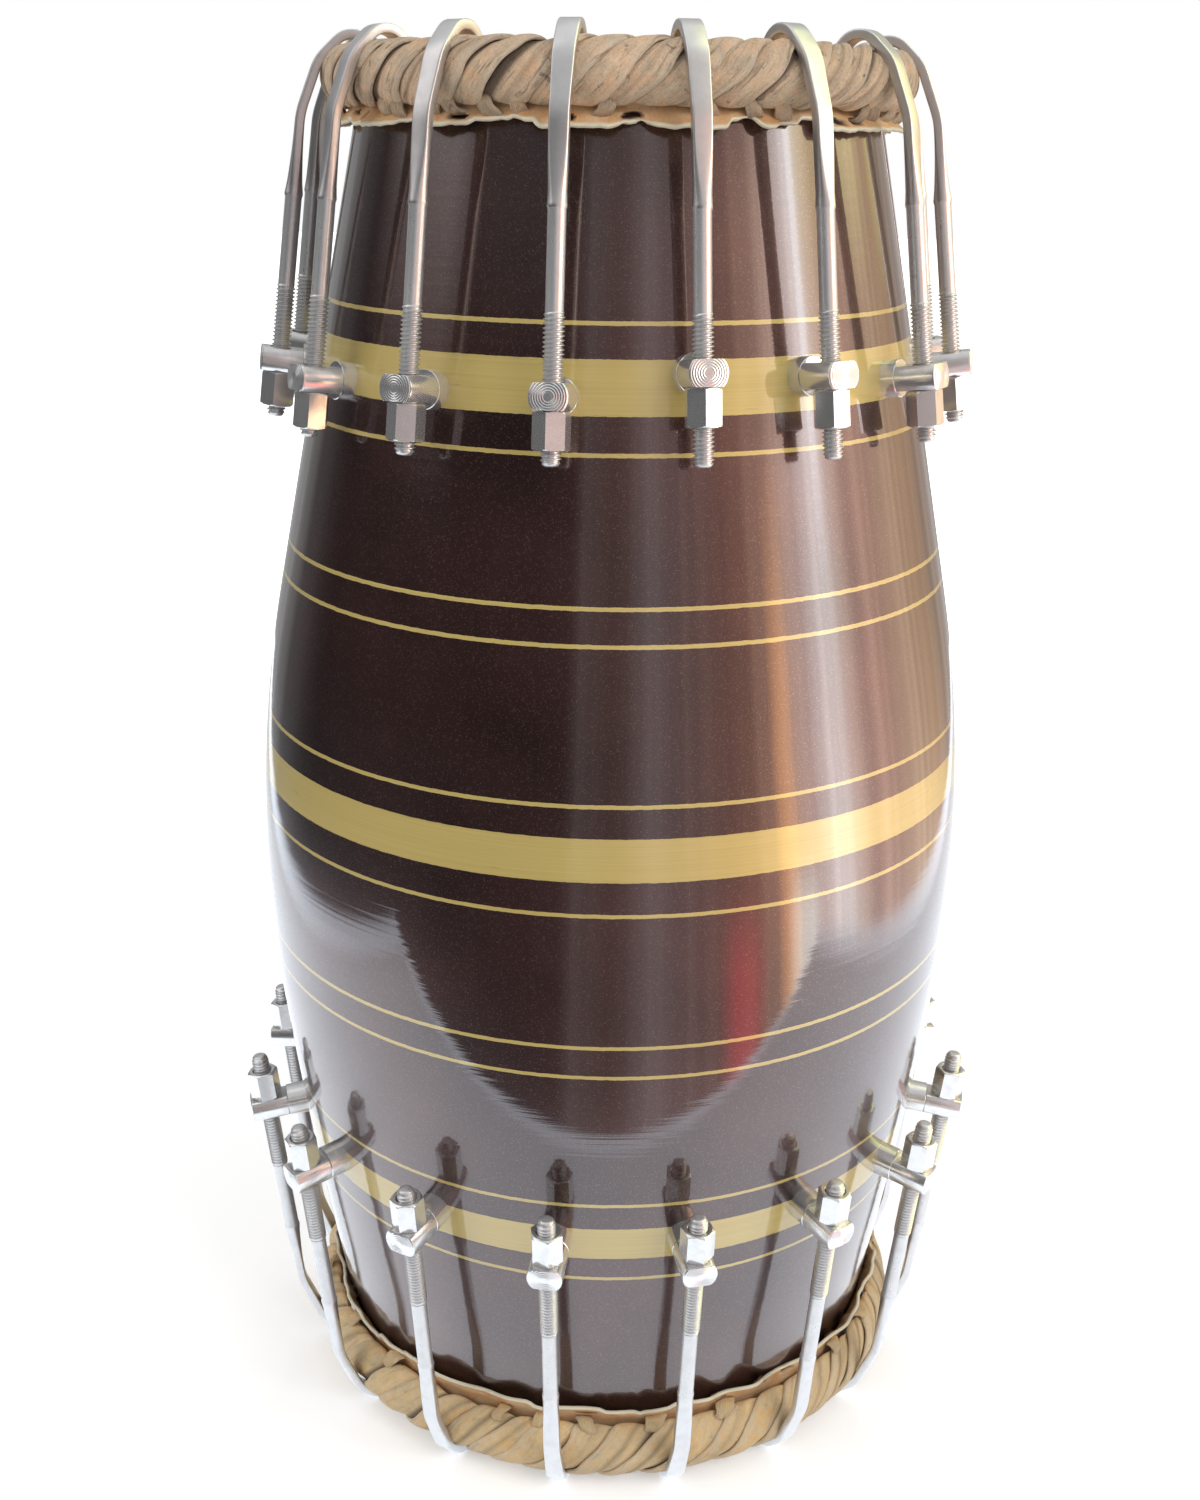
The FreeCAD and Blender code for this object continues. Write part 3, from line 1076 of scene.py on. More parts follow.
class Finishes:
    """Every finish of the drum, made once."""

    def __init__(self) -> None:
        """Makes the finishes."""
        self.lacquer = Lacquer().make()
        self.wood = BoredWood().make()
        self.rolled = PlatedSteel(SteelKind.ROLLED, shine=0.68).make()
        self.forged = PlatedSteel(SteelKind.FORGED, roughness=0.33, uneven=0.06, shine=0.9, relief=0.000006,
                                  grain=(1300, 1300, 50)).make()
        self.turned = PlatedSteel(SteelKind.TURNED, colour=(0.77, 0.775, 0.78), roughness=0.20,
                                  shine=0.82).make()
        self.nut = PlatedSteel(SteelKind.NUT, colour=(0.73, 0.735, 0.74), roughness=0.20, uneven=0.01,
                               shine=0.84).make()
        self.hoop = PlatedSteel(SteelKind.HOOP, colour=(0.40, 0.39, 0.38), roughness=0.4).make()
        self.treble_strap = StrapHide("treble_strap_hide", tan=(0.74, 0.52, 0.34), grey=(0.50, 0.39, 0.27),
                                      crease=(0.74, 0.43, 0.24)).make()
        self.bass_strap = StrapHide("bass_strap_hide", tan=(0.74, 0.54, 0.29), grey=(0.58, 0.44, 0.26),
                                    crease=(0.74, 0.43, 0.15), soil_and_shade=0.35, wrinkled=0.0009).make()
        self.rim = RimHide().make()
        self.skin = PlayingHide().make()
        self.paste = BlackPaste().make()


# The drum's pieces.


@dataclass
class Shell:
    """The turned and bored wooden shell."""

    wall: float = 14.0
    lip: float = 0.8
    steps: int = 192
    rows: int = 56

    def outside(self) -> list[Pair]:
        """The outline of the outside, from the bass mouth up.

        Returns:
            The radius and height of each point.
        """
        span = OUTLINE.head - OUTLINE.foot - 2 * self.lip
        heights = [OUTLINE.foot + self.lip + span * row / self.rows for row in range(self.rows + 1)]
        return [(OUTLINE.radius(height), height) for height in heights]

    def outline(self) -> list[Pair]:
        """The closed outline of the wall, outside and in.

        Returns:
            The radius and height of each point.
        """
        places = (OUTLINE.foot, OUTLINE.belly_height, OUTLINE.head)
        low, belly, high = (OUTLINE.radius(height) for height in places)
        inside = [(high - self.lip, OUTLINE.head), (high - self.wall, OUTLINE.head)]
        inside += [(belly - self.wall, OUTLINE.belly_height)]
        inside += [(low - self.wall, OUTLINE.foot), (low - self.lip, OUTLINE.foot)]
        return self.outside() + inside

    def build(self, finishes: Finishes) -> None:
        """Turns the shell and dresses its two sides.

        Args:
            finishes: every finish of the drum.
        """
        bm = turned(self.outline(), self.steps)
        bmesh.ops.transform(bm, matrix=Matrix.Scale(METRES, 4), verts=bm.verts[:])
        for face in bm.faces:
            middle = face.calc_center_median()
            depth = OUTLINE.radius(middle.z / METRES) - middle.xy.length / METRES
            face.material_index = 1 if depth > self.wall / 4 else 0
        add_piece("lacquered_shell", to_mesh(bm, "lacquered_shell", [finishes.lacquer, finishes.wood]),
                  "drum", ["shell"])


def ring_points(points: Iterable[Pair], height: float) -> list[Vector]:
    """A level ring of points at a height."""
    return [Vector((across, deep, height)) for across, deep in points]


@dataclass
class Nut:
    """A tall hexagon nut, chamfered at both ends."""

    across_flats: float = 10.0
    height: float = 11.4
    bore: float = 3.28
    bore_mouth: float = 3.75
    chamfer_radius: float = 4.7
    chamfer_slope: float = 1.9
    chamfer: tuple[float, ...] = (0.0, 0.1, 0.22, 0.36, 0.58)
    seat: float = 3.95
    sides: int = 48

    def hexagon(self, limit: float) -> list[Pair]:
        """The corners of the prism's section, held within a round limit.

        Args:
            limit: the radius that no point passes.

        Returns:
            The points of the section.
        """
        points = []
        for index in range(self.sides):
            angle = math.tau * index / self.sides
            off = (angle + math.pi / 6) % (math.pi / 3) - math.pi / 6
            radius = min(self.across_flats / 2 / math.cos(off), limit)
            points.append((radius * math.cos(angle), radius * math.sin(angle)))
        return points

    def circle(self, radius: float) -> list[Pair]:
        """A round section."""
        return self.hexagon(radius) if radius < self.across_flats / 2 else []

    def template(self, finishes: Finishes) -> bpy.types.Mesh:
        """The nut with its seat at zero height, growing away from the head.

        Args:
            finishes: every finish of the drum.

        Returns:
            The mesh.
        """
        levels = [(depth, self.chamfer_radius + depth * self.chamfer_slope) for depth in self.chamfer]
        levels += [(self.height - depth, limit) for depth, limit in reversed(levels)]
        loft = Loft(ring_points(self.circle(self.bore_mouth), 0))
        for depth, limit in levels:
            loft.ring(ring_points(self.hexagon(limit), depth))
        mouth = self.bore_mouth - self.bore
        bore = ((self.bore_mouth, self.height), (self.bore, self.height - mouth), (self.bore, mouth))
        for radius, depth in bore:
            loft.ring(ring_points(self.circle(radius), depth))
        return to_mesh(loft.join(), "nut", [finishes.nut], sharp=20)

    def build(self, station: Station, template: bpy.types.Mesh, roll: float) -> None:
        """Puts one nut on its rod, on its own turning body.

        Args:
            station: its place.
            template: the mesh that it copies.
            roll: its turn on the rod.
        """
        end = station.end
        name = f"{end.name.value}_nut_{station.label}"
        mesh = template.copy()
        on_rod = end.rod_frame(station.shift - self.seat, Facing.BACK, roll)
        mesh.transform(end.matrix(station.angle) @ on_rod)
        add_piece("plated_" + name, mesh, name, [name])


@dataclass
class Post:
    """A turned post, milled flat on two sides where the rod passes through it."""

    radius: float = 6.0
    flat: float = 7.8
    flat_start: float = -7.4
    shoulder: float = 0.2
    shoulder_length: float = 0.25
    root: float = -19.0
    hole: float = 3.475
    sides: int = 48
    sharp: float = 25.0
    end_rings: tuple[Pair, ...] = (
        (5.5, 6.0), (5.95, 5.9), (6.2, 5.65), (6.34, 5.2), (6.45, 4.2), (6.54, 2.8), (6.6, 1.2))

    def section(self, radius: float, milled: bool) -> list[Pair]:
        """A round section, cut off at the flats where it is milled.

        Args:
            radius: the section's radius.
            milled: whether it is cut off.

        Returns:
            The points of the section.
        """
        half = self.flat / 2 if milled else radius
        angles = [math.tau * index / self.sides for index in range(self.sides)]
        return [(max(-half, min(half, radius * math.cos(angle))), radius * math.sin(angle))
                for angle in angles]

    def solid(self) -> Shape:
        """The post before its hole is drilled, growing out from the shell.

        Returns:
            The mesh, along Z.
        """
        stem, narrow = self.section(self.radius, False), self.radius - self.shoulder
        loft = Loft(ring_points(stem, self.root))
        loft.ring(ring_points(stem, self.flat_start - self.shoulder_length))
        for milled in (False, True):
            loft.ring(ring_points(self.section(narrow, milled), self.flat_start))
        for height, radius in ((self.flat_start + self.shoulder, self.radius),) + self.end_rings:
            loft.ring(ring_points(self.section(radius, True), height))
        return loft.close()

    def template(self, finishes: Finishes) -> bpy.types.Mesh:
        """The drilled post, with each point's distance from its own axis kept for the turning marks.

        Args:
            finishes: every finish of the drum.

        Returns:
            The mesh, along Z.
        """
        bm = self.solid()
        lathe = bm.verts.layers.float.new("lathe")
        for vert in bm.verts:
            vert[lathe] = vert.co.xy.length if vert.co.z > self.end_rings[1][0] else self.radius
        body = bpy.data.objects.new("post_blank", to_mesh(bm, "post_blank", [finishes.turned], self.sharp))
        drill = bmesh.new()
        bmesh.ops.create_cone(drill, cap_ends=True, segments=self.sides, radius1=self.hole, radius2=self.hole,
                              depth=4 * self.radius, matrix=Matrix.Rotation(math.pi / 2, 4, "Y"))
        bit = bpy.data.objects.new("post_drill", to_mesh(drill, "post_drill", []))
        for item in (body, bit):
            bpy.context.scene.collection.objects.link(item)
        cut = body.modifiers.new("drill", "BOOLEAN")
        cut.operation, cut.object, cut.solver = "DIFFERENCE", bit, "EXACT"
        graph = bpy.context.evaluated_depsgraph_get()
        mesh = bpy.data.meshes.new_from_object(body.evaluated_get(graph))
        mesh.set_sharp_from_angle(angle=math.radians(self.sharp))
        for item in (body, bit):
            bpy.data.objects.remove(item)
        return mesh

    def build(self, stations: Sequence[Station], finishes: Finishes) -> None:
        """Puts every post in the shell.

        Args:
            stations: the places of the posts.
            finishes: every finish of the drum.
        """
        template = self.template(finishes)
        for station in stations:
            end = station.end
            mesh = template.copy()
            mesh.transform(end.matrix(station.angle) @ end.rod_frame(station.shift, Facing.OUT))
            name = f"{end.name.value}_post_{station.label}"
            add_piece(name, mesh, "drum", ["tuning_posts"])


@dataclass
class Hook:
    """A hook: its threaded and plain rod, the stretch forged flat, and the strap bent over the plait."""

    pitch: float = 1.27
    crest: float = 3.175
    root: float = 2.488
    thread_steps: int = 20
    thread_profile: tuple[Pair, ...] = ((0, 0), (0, 0.25), (1, 0.5625), (1, 0.6875), (0, 1))
    thread_weld: float = 0.01
    runout: float = 2.2
    rod: float = 2.7
    tail: float = 20.85
    tail_tip: float = 1.6
    tail_slack: float = 1.02
    forged: float = 22.0
    plain: float = 28.0
    half_width: float = 3.3
    half_depth: float = 1.5
    corner: float = 0.55
    quarter_steps: int = 6
    collar: float = 0.28
    collar_reach: float = 1.1
    collar_steps: int = 4
    forged_steps: int = 8
    bends: tuple[float, ...] = (26.0, 14.0, 8.0, 6.5, 5.0)
    section_step: float = 1.4
    bend_width: float = 0.88
    widening: float = 24.0
    tip_length: float = 2.0
    tip_rings: tuple[Pair, ...] = ((1.1, 0.92), (0.4, 0.74), (0.0, 0.45))
    tip_depths: Pair = (0.5, 0.6)
    least_flat: float = 0.02

    def lengths(self, end: DrumEnd) -> Triple:
        """The distances from the post of the thread's end, the forging's start and the strap's start."""
        strap = (end.bend - end.rod_at_post).length - end.strap_thickness
        return strap - self.forged - self.plain, strap - self.forged, strap

    def thread(self, end: DrumEnd) -> Shape:
        """The rolled thread along Z, with a rounded end and a run-out into the plain rod.

        Args:
            end: the end of the drum.

        Returns:
            The mesh, open at the run-out.
        """
        start, finish = -self.tail, self.lengths(end)[0]
        turns = math.ceil((finish - start) / self.pitch) + 2
        bm = bmesh.new()
        verts = []
        for level, share in self.thread_profile:
            radius = self.root + (self.crest - self.root) * level
            verts.append(bm.verts.new((radius, 0, start - self.pitch + share * self.pitch)))
        for first, second in zip(verts, verts[1:]):
            bm.edges.new((first, second))
        bmesh.ops.spin(bm, geom=bm.verts[:] + bm.edges[:], cent=(0, 0, 0), axis=UP,
                       dvec=(0, 0, self.pitch / self.thread_steps), angle=turns * math.tau,
                       steps=turns * self.thread_steps, use_merge=False, use_duplicate=False)
        bmesh.ops.remove_doubles(bm, verts=bm.verts[:], dist=self.thread_weld)
        for height, inner in ((start, True), (finish, False)):
            bmesh.ops.bisect_plane(bm, geom=bm.verts[:] + bm.edges[:] + bm.faces[:], dist=WELD,
                                   plane_co=(0, 0, height), plane_no=UP,
                                   clear_inner=inner, clear_outer=not inner)
        for vert in bm.verts:
            self.shape_thread(vert, start, finish)
        bmesh.ops.holes_fill(bm, edges=bm.edges[:], sides=0)
        return bm

    def shape_thread(self, vert: bmesh.types.BMVert, start: float, finish: float) -> None:
        """Rounds the thread's tail and fades its other end into the rod.

        Args:
            vert: a point of the thread.
            start: the height of the tail.
            finish: the height of the thread's end.
        """
        radius = vert.co.xy.length
        if radius == 0:
            return
        fade = smooth((finish - vert.co.z) / self.runout)
        wanted = self.rod + (radius - self.rod) * fade
        depth = min((vert.co.z - start) / self.crest, 1.0)
        dome = math.sqrt(max(0.0, 1 - (1 - depth) ** 2)) * self.tail_slack
        wanted = min(wanted, self.tail_tip + (self.crest - self.tail_tip) * dome)
        vert.co.xy *= wanted / radius

    def section(self, centre: Vector, deep: Vector, flatness: float, narrow: float) -> list[Vector]:
        """A section between a round bar and a flat strap with rounded corners.

        Args:
            centre: its middle, in the plane of radius and height.
            deep: the direction of its thickness in that plane.
            flatness: 0 for the round bar and 1 for the strap.
            narrow: the strap's width, as a share of its full width.

        Returns:
            Its points, in the end's frame.
        """
        width = self.half_width * narrow
        least, growth = self.tip_depths
        depth = max(self.half_depth * min(1.0, least + growth * narrow), self.corner + self.least_flat)
        points = []
        for index in range(4 * self.quarter_steps):
            quarter, step = divmod(index, self.quarter_steps)
            turn = quarter * math.pi / 2
            circle = heading(turn + step * math.pi / (2 * self.quarter_steps)) * self.rod
            if step == 0:
                flat = Vector((width * round(math.cos(turn)), depth * round(math.sin(turn))))
            else:
                lean = turn + (step - 1) * math.pi / (2 * (self.quarter_steps - 2))
                diagonal = turn + math.pi / 4
                corner = Vector((math.copysign(width - self.corner, math.cos(diagonal)),
                                 math.copysign(depth - self.corner, math.sin(diagonal))))
                flat = corner + heading(lean) * self.corner
            spot = circle.lerp(flat, flatness)
            place = centre + deep * spot.y
            points.append(Vector((place.x, spot.x, place.y)))
        return points

    def stops(self, forging: float, strap: float, length: float) -> list[tuple[float, float, float, float]]:
        """The bar's sections: how far along each is, its flatness, its share of the width and its swell.

        Args:
            forging: the distance at which the forged stretch starts.
            strap: the distance at which the strap starts.
            length: the length of the bar.

        Returns:
            The sections in order, from the thread to the tip.
        """
        collar = forging - self.collar_reach
        stops: list[tuple[float, float, float, float]] = [(0, 0, 1, 0), (collar, 0, 1, 0)]
        for step in range(1, self.collar_steps):
            distance = collar + 2 * self.collar_reach * step / self.collar_steps
            stops.append((distance, 0, 1, math.sin(step * math.pi / self.collar_steps)))
        for step in range(1, self.forged_steps + 1):
            share = step / self.forged_steps
            distance = forging + self.collar_reach + (self.forged - self.collar_reach) * share
            stops.append((distance, math.sin(share * math.pi / 2), self.bend_width, 0))
        count = round((length - strap - self.tip_length) / self.section_step)
        for step in range(1, count + 1):
            distance = strap + (length - self.tip_length - strap) * step / count
            wide = self.bend_width + (1 - self.bend_width) * smooth((distance - strap) / self.widening)
            stops.append((distance, 1, wide, 0))
        return stops + [(length - back, 1, narrow, 0) for back, narrow in self.tip_rings]

    def bar(self, end: DrumEnd) -> Shape:
        """The plain rod, the forged stretch and the strap, as one skin.

        Args:
            end: the end of the drum.

        Returns:
            The mesh, in the end's frame.
        """
        thread_end, forging, strap = self.lengths(end)
        start = thread_end - self.runout
        line = Line(rounded([end.on_rod(start)] + end.strap_corners(), self.bends))
        rings = []
        for distance, flatness, narrow, swell in self.stops(forging - start, strap - start, line.length):
            centre, tangent = line.at(distance)
            ring = self.section(centre, square_to(tangent), flatness, narrow)
            if swell:
                middle = Vector((centre.x, 0, centre.y))
                ring = [middle + (point - middle) * (1 + self.collar * swell / self.rod) for point in ring]
            rings.append(ring)
        loft = Loft(rings[0])
        for ring in rings[1:]:
            loft.ring(ring)
        return loft.close()

    def template(self, end: DrumEnd, finishes: Finishes) -> bpy.types.Mesh:
        """One hook of an end, in the end's frame.

        Args:
            end: the end of the drum.
            finishes: every finish of the drum.

        Returns:
            The mesh.
        """
        whole = bmesh.new()
        thread = self.thread(end)
        bmesh.ops.transform(thread, matrix=end.rod_frame(0, Facing.ALONG), verts=thread.verts[:])
        whole.from_mesh(to_mesh(thread, "hook_thread", []))
        bar = self.bar(end)
        forging = end.on_rod(self.lengths(end)[1]).y
        for face in bar.faces:
            middle = face.calc_center_median()
            face.material_index = 1 if middle.z > forging else 0
        whole.from_mesh(to_mesh(bar, "hook_bar", []))
        return to_mesh(whole, "hook", [finishes.rolled, finishes.forged], sharp=28)

    def build(self, station: Station, template: bpy.types.Mesh) -> None:
        """Puts one hook in its place: a treble hook on its sliding body, a bass hook on the drum.

        Args:
            station: its place.
            template: the mesh that it copies.
        """
        end = station.end
        name = f"{end.name.value}_hook_{station.label}"
        mesh = template.copy()
        mesh.transform(end.matrix(station.angle))
        if end.turned_over:
            add_piece("plated_" + name, mesh, "drum", ["bass_hooks"])
        else:
            add_piece("plated_" + name, mesh, name, [name])


@dataclass(frozen=True)
class Strap:
    """One strap of a plait: a grid laid round the ring, with one edge tucked in and the other lapped out.

    Places across the strap, and the widths of what lies across it, are shares of its width.
    """

    end: DrumEnd
    lap: float = 1.40
    slant: float = 0.80
    tuck: float = 1.8
    across: int = 9
    along: int = 19
    start_spread: float = 0.11
    lap_spread: Pair = (0.94, 1.10)
    slant_spread: Pair = (0.92, 1.08)
    fold_chance: float = 0.45
    fold_depth: Pair = (0.5, 1.0)
    groove: Pair = (0.5, 0.72)
    groove_width: float = 0.09
    # How dark the painted shade in a fold's groove is.
    groove_shade: float = 0.75
    groove_depth: float = 0.75
    # Where the painted shade under the neighbour's edge fades out across the strap, and how softly.
    lapped: Pair = (0.32, 0.12)
    # Where the pale raised outer edge starts across the strap, and how softly. Its paleness is wear and a
    # painted highlight.
    worn: Pair = (0.84, 0.1)
    edge_highlight_and_wear: float = 0.5
    tucked: Pair = (0.20, 0.45)
    edge: Pair = (0.88, 0.12)
    edge_drop: float = 0.45
    edge_sway: Pair = (0.16, 0.03)
    ripple: Pair = (0.34, 0.16)
    sunk: float = 0.1
    map_length: float = 4.0
    map_step: Pair = (3.7, 1.3)

    def height(self, across: float, along: float, seed: float) -> float:
        """How far a point stands out from the way round the ring, before its creases.

        Args:
            across: its place across the strap, from 0 to 1.
            along: its place along the strap, from 0 to 1.
            seed: what sets this strap's ripples.

        Returns:
            The height in millimetres.
        """
        (tuck_start, tuck_width), (edge_start, edge_width) = self.tucked, self.edge
        crown = (-self.tuck * (1 - smooth((across - tuck_start) / tuck_width))
                 - self.edge_drop * smooth((across - edge_start) / edge_width))
        slow, quick = self.ripple
        ripple = (wander(along * 2.6 + across * 1.6, seed + 5) * slow
                  + wander(across * 4, seed + 9) * quick)
        return crown + ripple * smooth(across * 3)

    def build(self, bm: Shape, index: int, line: Line, draw: random.Random) -> None:
        """Adds the strap.

        Args:
            bm: the mesh that takes it.
            index: the strap's place round the ring.
            line: the way round the section.
            draw: the source of its small differences.
        """
        pitch = math.tau / STRAPS
        made = bmesh.ops.create_grid(bm, x_segments=self.across, y_segments=self.along, size=0.5)
        start = index * pitch + draw.uniform(-self.start_spread, self.start_spread) * pitch
        wide = self.lap * draw.uniform(*self.lap_spread)
        slant = self.slant * draw.uniform(*self.slant_spread)
        tone, seed = draw.random(), draw.uniform(0, 90)
        folded = draw.uniform(*self.fold_depth) if draw.random() < self.fold_chance else 0.0
        groove = draw.uniform(*self.groove)
        uv = bm.loops.layers.uv["strap"]
        layers = {name: bm.verts.layers.float[name] for name in HIDE_LAYERS}
        (lapped, lap_shade_soft), (worn, edge_highlight_soft) = self.lapped, self.worn
        sway, nick = self.edge_sway
        for vert in made["verts"]:
            across, along = vert.co.x + 0.5, vert.co.y + 0.5
            for loop in vert.link_loops:
                loop[uv].uv = (across + index * self.map_step[0],
                               along * self.map_length + index * self.map_step[1])
            crease = folded * smooth(1 - abs(across - groove) / self.groove_width)
            vert[layers["tone"]] = tone
            # Painted shade under the neighbour's edge and in a fold's groove.
            vert[layers["lap"]] = max(smooth((lapped - across) / lap_shade_soft), self.groove_shade * crease)
            # Paler raised outer edge: wear and a painted highlight.
            vert[layers["worn"]] = self.edge_highlight_and_wear * smooth((across - worn) / edge_highlight_soft)
            distance = along * line.length
            point, tangent = line.at(distance)
            edge = (wander(along * 3, seed) * sway * (across - 0.25)
                    + wander(along * 9, seed + 2) * nick * across)
            turn = (start + (across + edge) * wide * pitch
                    + slant * (distance - line.length / 2) / self.end.outer)
            out = self.height(across, along, seed) - self.groove_depth * crease - self.sunk
            vert.co = swung(point + square_to(tangent) * out, turn)


@dataclass(frozen=True)
class Tie:
    """A short end of hide that comes out of the skirt, turns up and tucks in under the ring.

    Its way is given by points away from the shell's neck and up from the plait's inner edge.
    """

    end: DrumEnd
    reach: float
    across: int = 5
    along: int = 8
    half_width: Pair = (2.6, 4.6)
    lean: Pair = (1.5, 5.0)
    out: Pair = (0.2, 1.8)
    sag: Pair = (-1.2, 0.6)
    place: Pair = (0.25, 0.75)
    way: tuple[Pair, ...] = ((1.0, -1.4), (3.0, -1.5), (5.4, 1.2), (5.2, 5.0))
    bends: Pair = (1.8, 2.5)
    bend_steps: int = 4
    cup: float = 0.8
    wrinkle: float = 0.6
    sway: float = 0.5
    taper: float = 0.3
    edge_highlight_and_wear: float = 0.4
    map_length: float = 2.0
    map_step: float = 2.9

    def build(self, bm: Shape, index: int, draw: random.Random) -> None:
        """Adds the short end.

        Args:
            bm: the mesh that takes it.
            index: the strap that it belongs to.
            draw: the source of its small differences.
        """
        end = self.end
        made = bmesh.ops.create_grid(bm, x_segments=self.across, y_segments=self.along, size=0.5)
        half, lean = draw.uniform(*self.half_width), draw.choice((-1, 1)) * draw.uniform(*self.lean)
        out, sag, tone = self.reach + draw.uniform(*self.out), draw.uniform(*self.sag), draw.random()
        shifts = ((self.reach, -sag), (out, -sag), (out, 0.0), (0.0, 0.0))
        corners = [Vector((end.neck + (away + further), (rise + raised) - end.drop))
                   for (away, rise), (further, raised) in zip(self.way, shifts)]
        line = Line(rounded(corners, self.bends, self.bend_steps))
        middle = (index + draw.uniform(*self.place)) / STRAPS * math.tau
        uv = bm.loops.layers.uv["strap"]
        layers = {name: bm.verts.layers.float[name] for name in HIDE_LAYERS}
        for vert in made["verts"]:
            across, along = vert.co.x * 2, vert.co.y + 0.5
            for loop in vert.link_loops:
                loop[uv].uv = (across + index * self.map_step, along * self.map_length + index)
            vert[layers["tone"]] = tone
            # Painted shade where the short end comes out of the skirt and where it tucks in under the ring.
            vert[layers["lap"]] = 0.6 * smooth((along - 0.7) / 0.3) + 0.5 * smooth((0.12 - along) / 0.12)
            # Paler edges: wear and a painted highlight.
            vert[layers["worn"]] = self.edge_highlight_and_wear * smooth((abs(across) - 0.6) / 0.3)
            point, tangent = line.at(along * line.length)
            cup = (self.cup * (1 - across * across)
                   + self.wrinkle * wander(along * 3 + across * 1.4, index + 0.5))
            place = point + square_to(tangent) * cup
            slide = (across * half * (1 - self.taper * along) + lean * (along - 0.3)
                     + self.sway * wander(along * 5, index))
            vert.co = swung(place, middle + slide / place.x)


@dataclass
class Plait:
    """The ring of hide straps wound aslant round its hoop, each lapped over the next.

    The way round starts under the skirt, at points away from the shell's neck and up from the ring's inner
    edge, and ends inside the ring, at points out from the rim skin's fold and down from the top.
    """

    end: DrumEnd
    seed: int
    thickness: float = 1.5
    raised: float = 2.2
    lifted: float = 1.3
    tie_chance: float = 0.65
    tie_reach: float = 0.0
    under: tuple[Pair, ...] = ((2.2, 3.2), (3.1, 0.6))
    inside: tuple[Pair, ...] = ((3.4, 0.3), (1.0, 2.2), (0.9, 5.4))
    crown_half: float = 64.0
    crown_steps: int = 12
    bend: float = 3.0
    packing_rows: int = 19
    packing_depth_share: float = 0.6
    # How dark the painted shade on the packing is.
    packing_shade: float = 0.85

    def line(self) -> Line:
        """The way of a strap round the ring's section, from under the skirt to the inside of the top.

        Returns:
            The line.
        """
        end = self.end
        points = [Vector((end.neck + away, rise - end.drop)) for away, rise in self.under]
        for step in range(self.crown_steps + 1):
            share = step / self.crown_steps
            tilt = math.radians(self.crown_half * (2 * share - 1))
            lift = self.raised * share + self.lifted * (1 - share)
            points.append(end.crown_centre + heading(tilt) * end.crown + Vector((0, lift)))
        top = end.plait_rise + self.raised
        points += [Vector((end.fold + away, top - down)) for away, down in self.inside]
        return Line(rounded(points, [self.bend] * (len(points) - 2), 2))

    def core(self, line: Line, depth: float) -> Shape:
        """The packing inside the straps, which closes the ring where they part.

        Args:
            line: the way round the section.
            depth: how deep below it the packing lies.

        Returns:
            The packing, with painted shade all over.
        """
        outline = []
        for row in range(self.packing_rows + 1):
            point, tangent = line.at(line.length * row / self.packing_rows)
            place = point - square_to(tangent) * depth
            outline.append((place.x, place.y))
        bm = turned(outline, 2 * STRAPS)
        # The packing is only seen in the gaps between straps, so it gets painted shade all over.
        dark = bm.verts.layers.float.new("lap")
        for vert in bm.verts:
            vert[dark] = self.packing_shade
        return bm

    def straps(self, line: Line, strap: Strap) -> Shape:
        """The straps and the short ends, as thin sheets.

        Args:
            line: the way round the section.
            strap: how a strap is made.

        Returns:
            The sheets.
        """
        bm = bmesh.new()
        bm.loops.layers.uv.new("strap")
        for layer in HIDE_LAYERS:
            bm.verts.layers.float.new(layer)
        tie, draw = Tie(self.end, self.tie_reach), random.Random(self.seed)
        for index in range(STRAPS):
            strap.build(bm, index, line, draw)
            if draw.random() < self.tie_chance:
                tie.build(bm, index, draw)
        bmesh.ops.recalc_face_normals(bm, faces=bm.faces[:])
        return bm

    def build(self, finishes: Finishes) -> None:
        """Winds the ring.

        Args:
            finishes: every finish of the drum.
        """
        name = self.end.name.value
        finish = finishes.bass_strap if self.end.turned_over else finishes.treble_strap
        line, strap = self.line(), Strap(self.end)
        mesh = to_mesh(self.straps(line, strap), name + "_straps", [finish], sharp=80)
        mesh.transform(self.end.matrix())
        straps = add_piece(name + "_straps", mesh, "drum", [name + "_plait"])
        thicken(straps, self.thickness)
        soft = straps.modifiers.new("rounding", "SUBSURF")
        soft.levels = soft.render_levels = 1
        core = self.core(line, strap.tuck + self.thickness * self.packing_depth_share)
        mesh = to_mesh(core, name + "_packing", [finish], sharp=60)
        mesh.transform(self.end.matrix())
        add_piece(name + "_packing", mesh, "drum", [name + "_plait"])


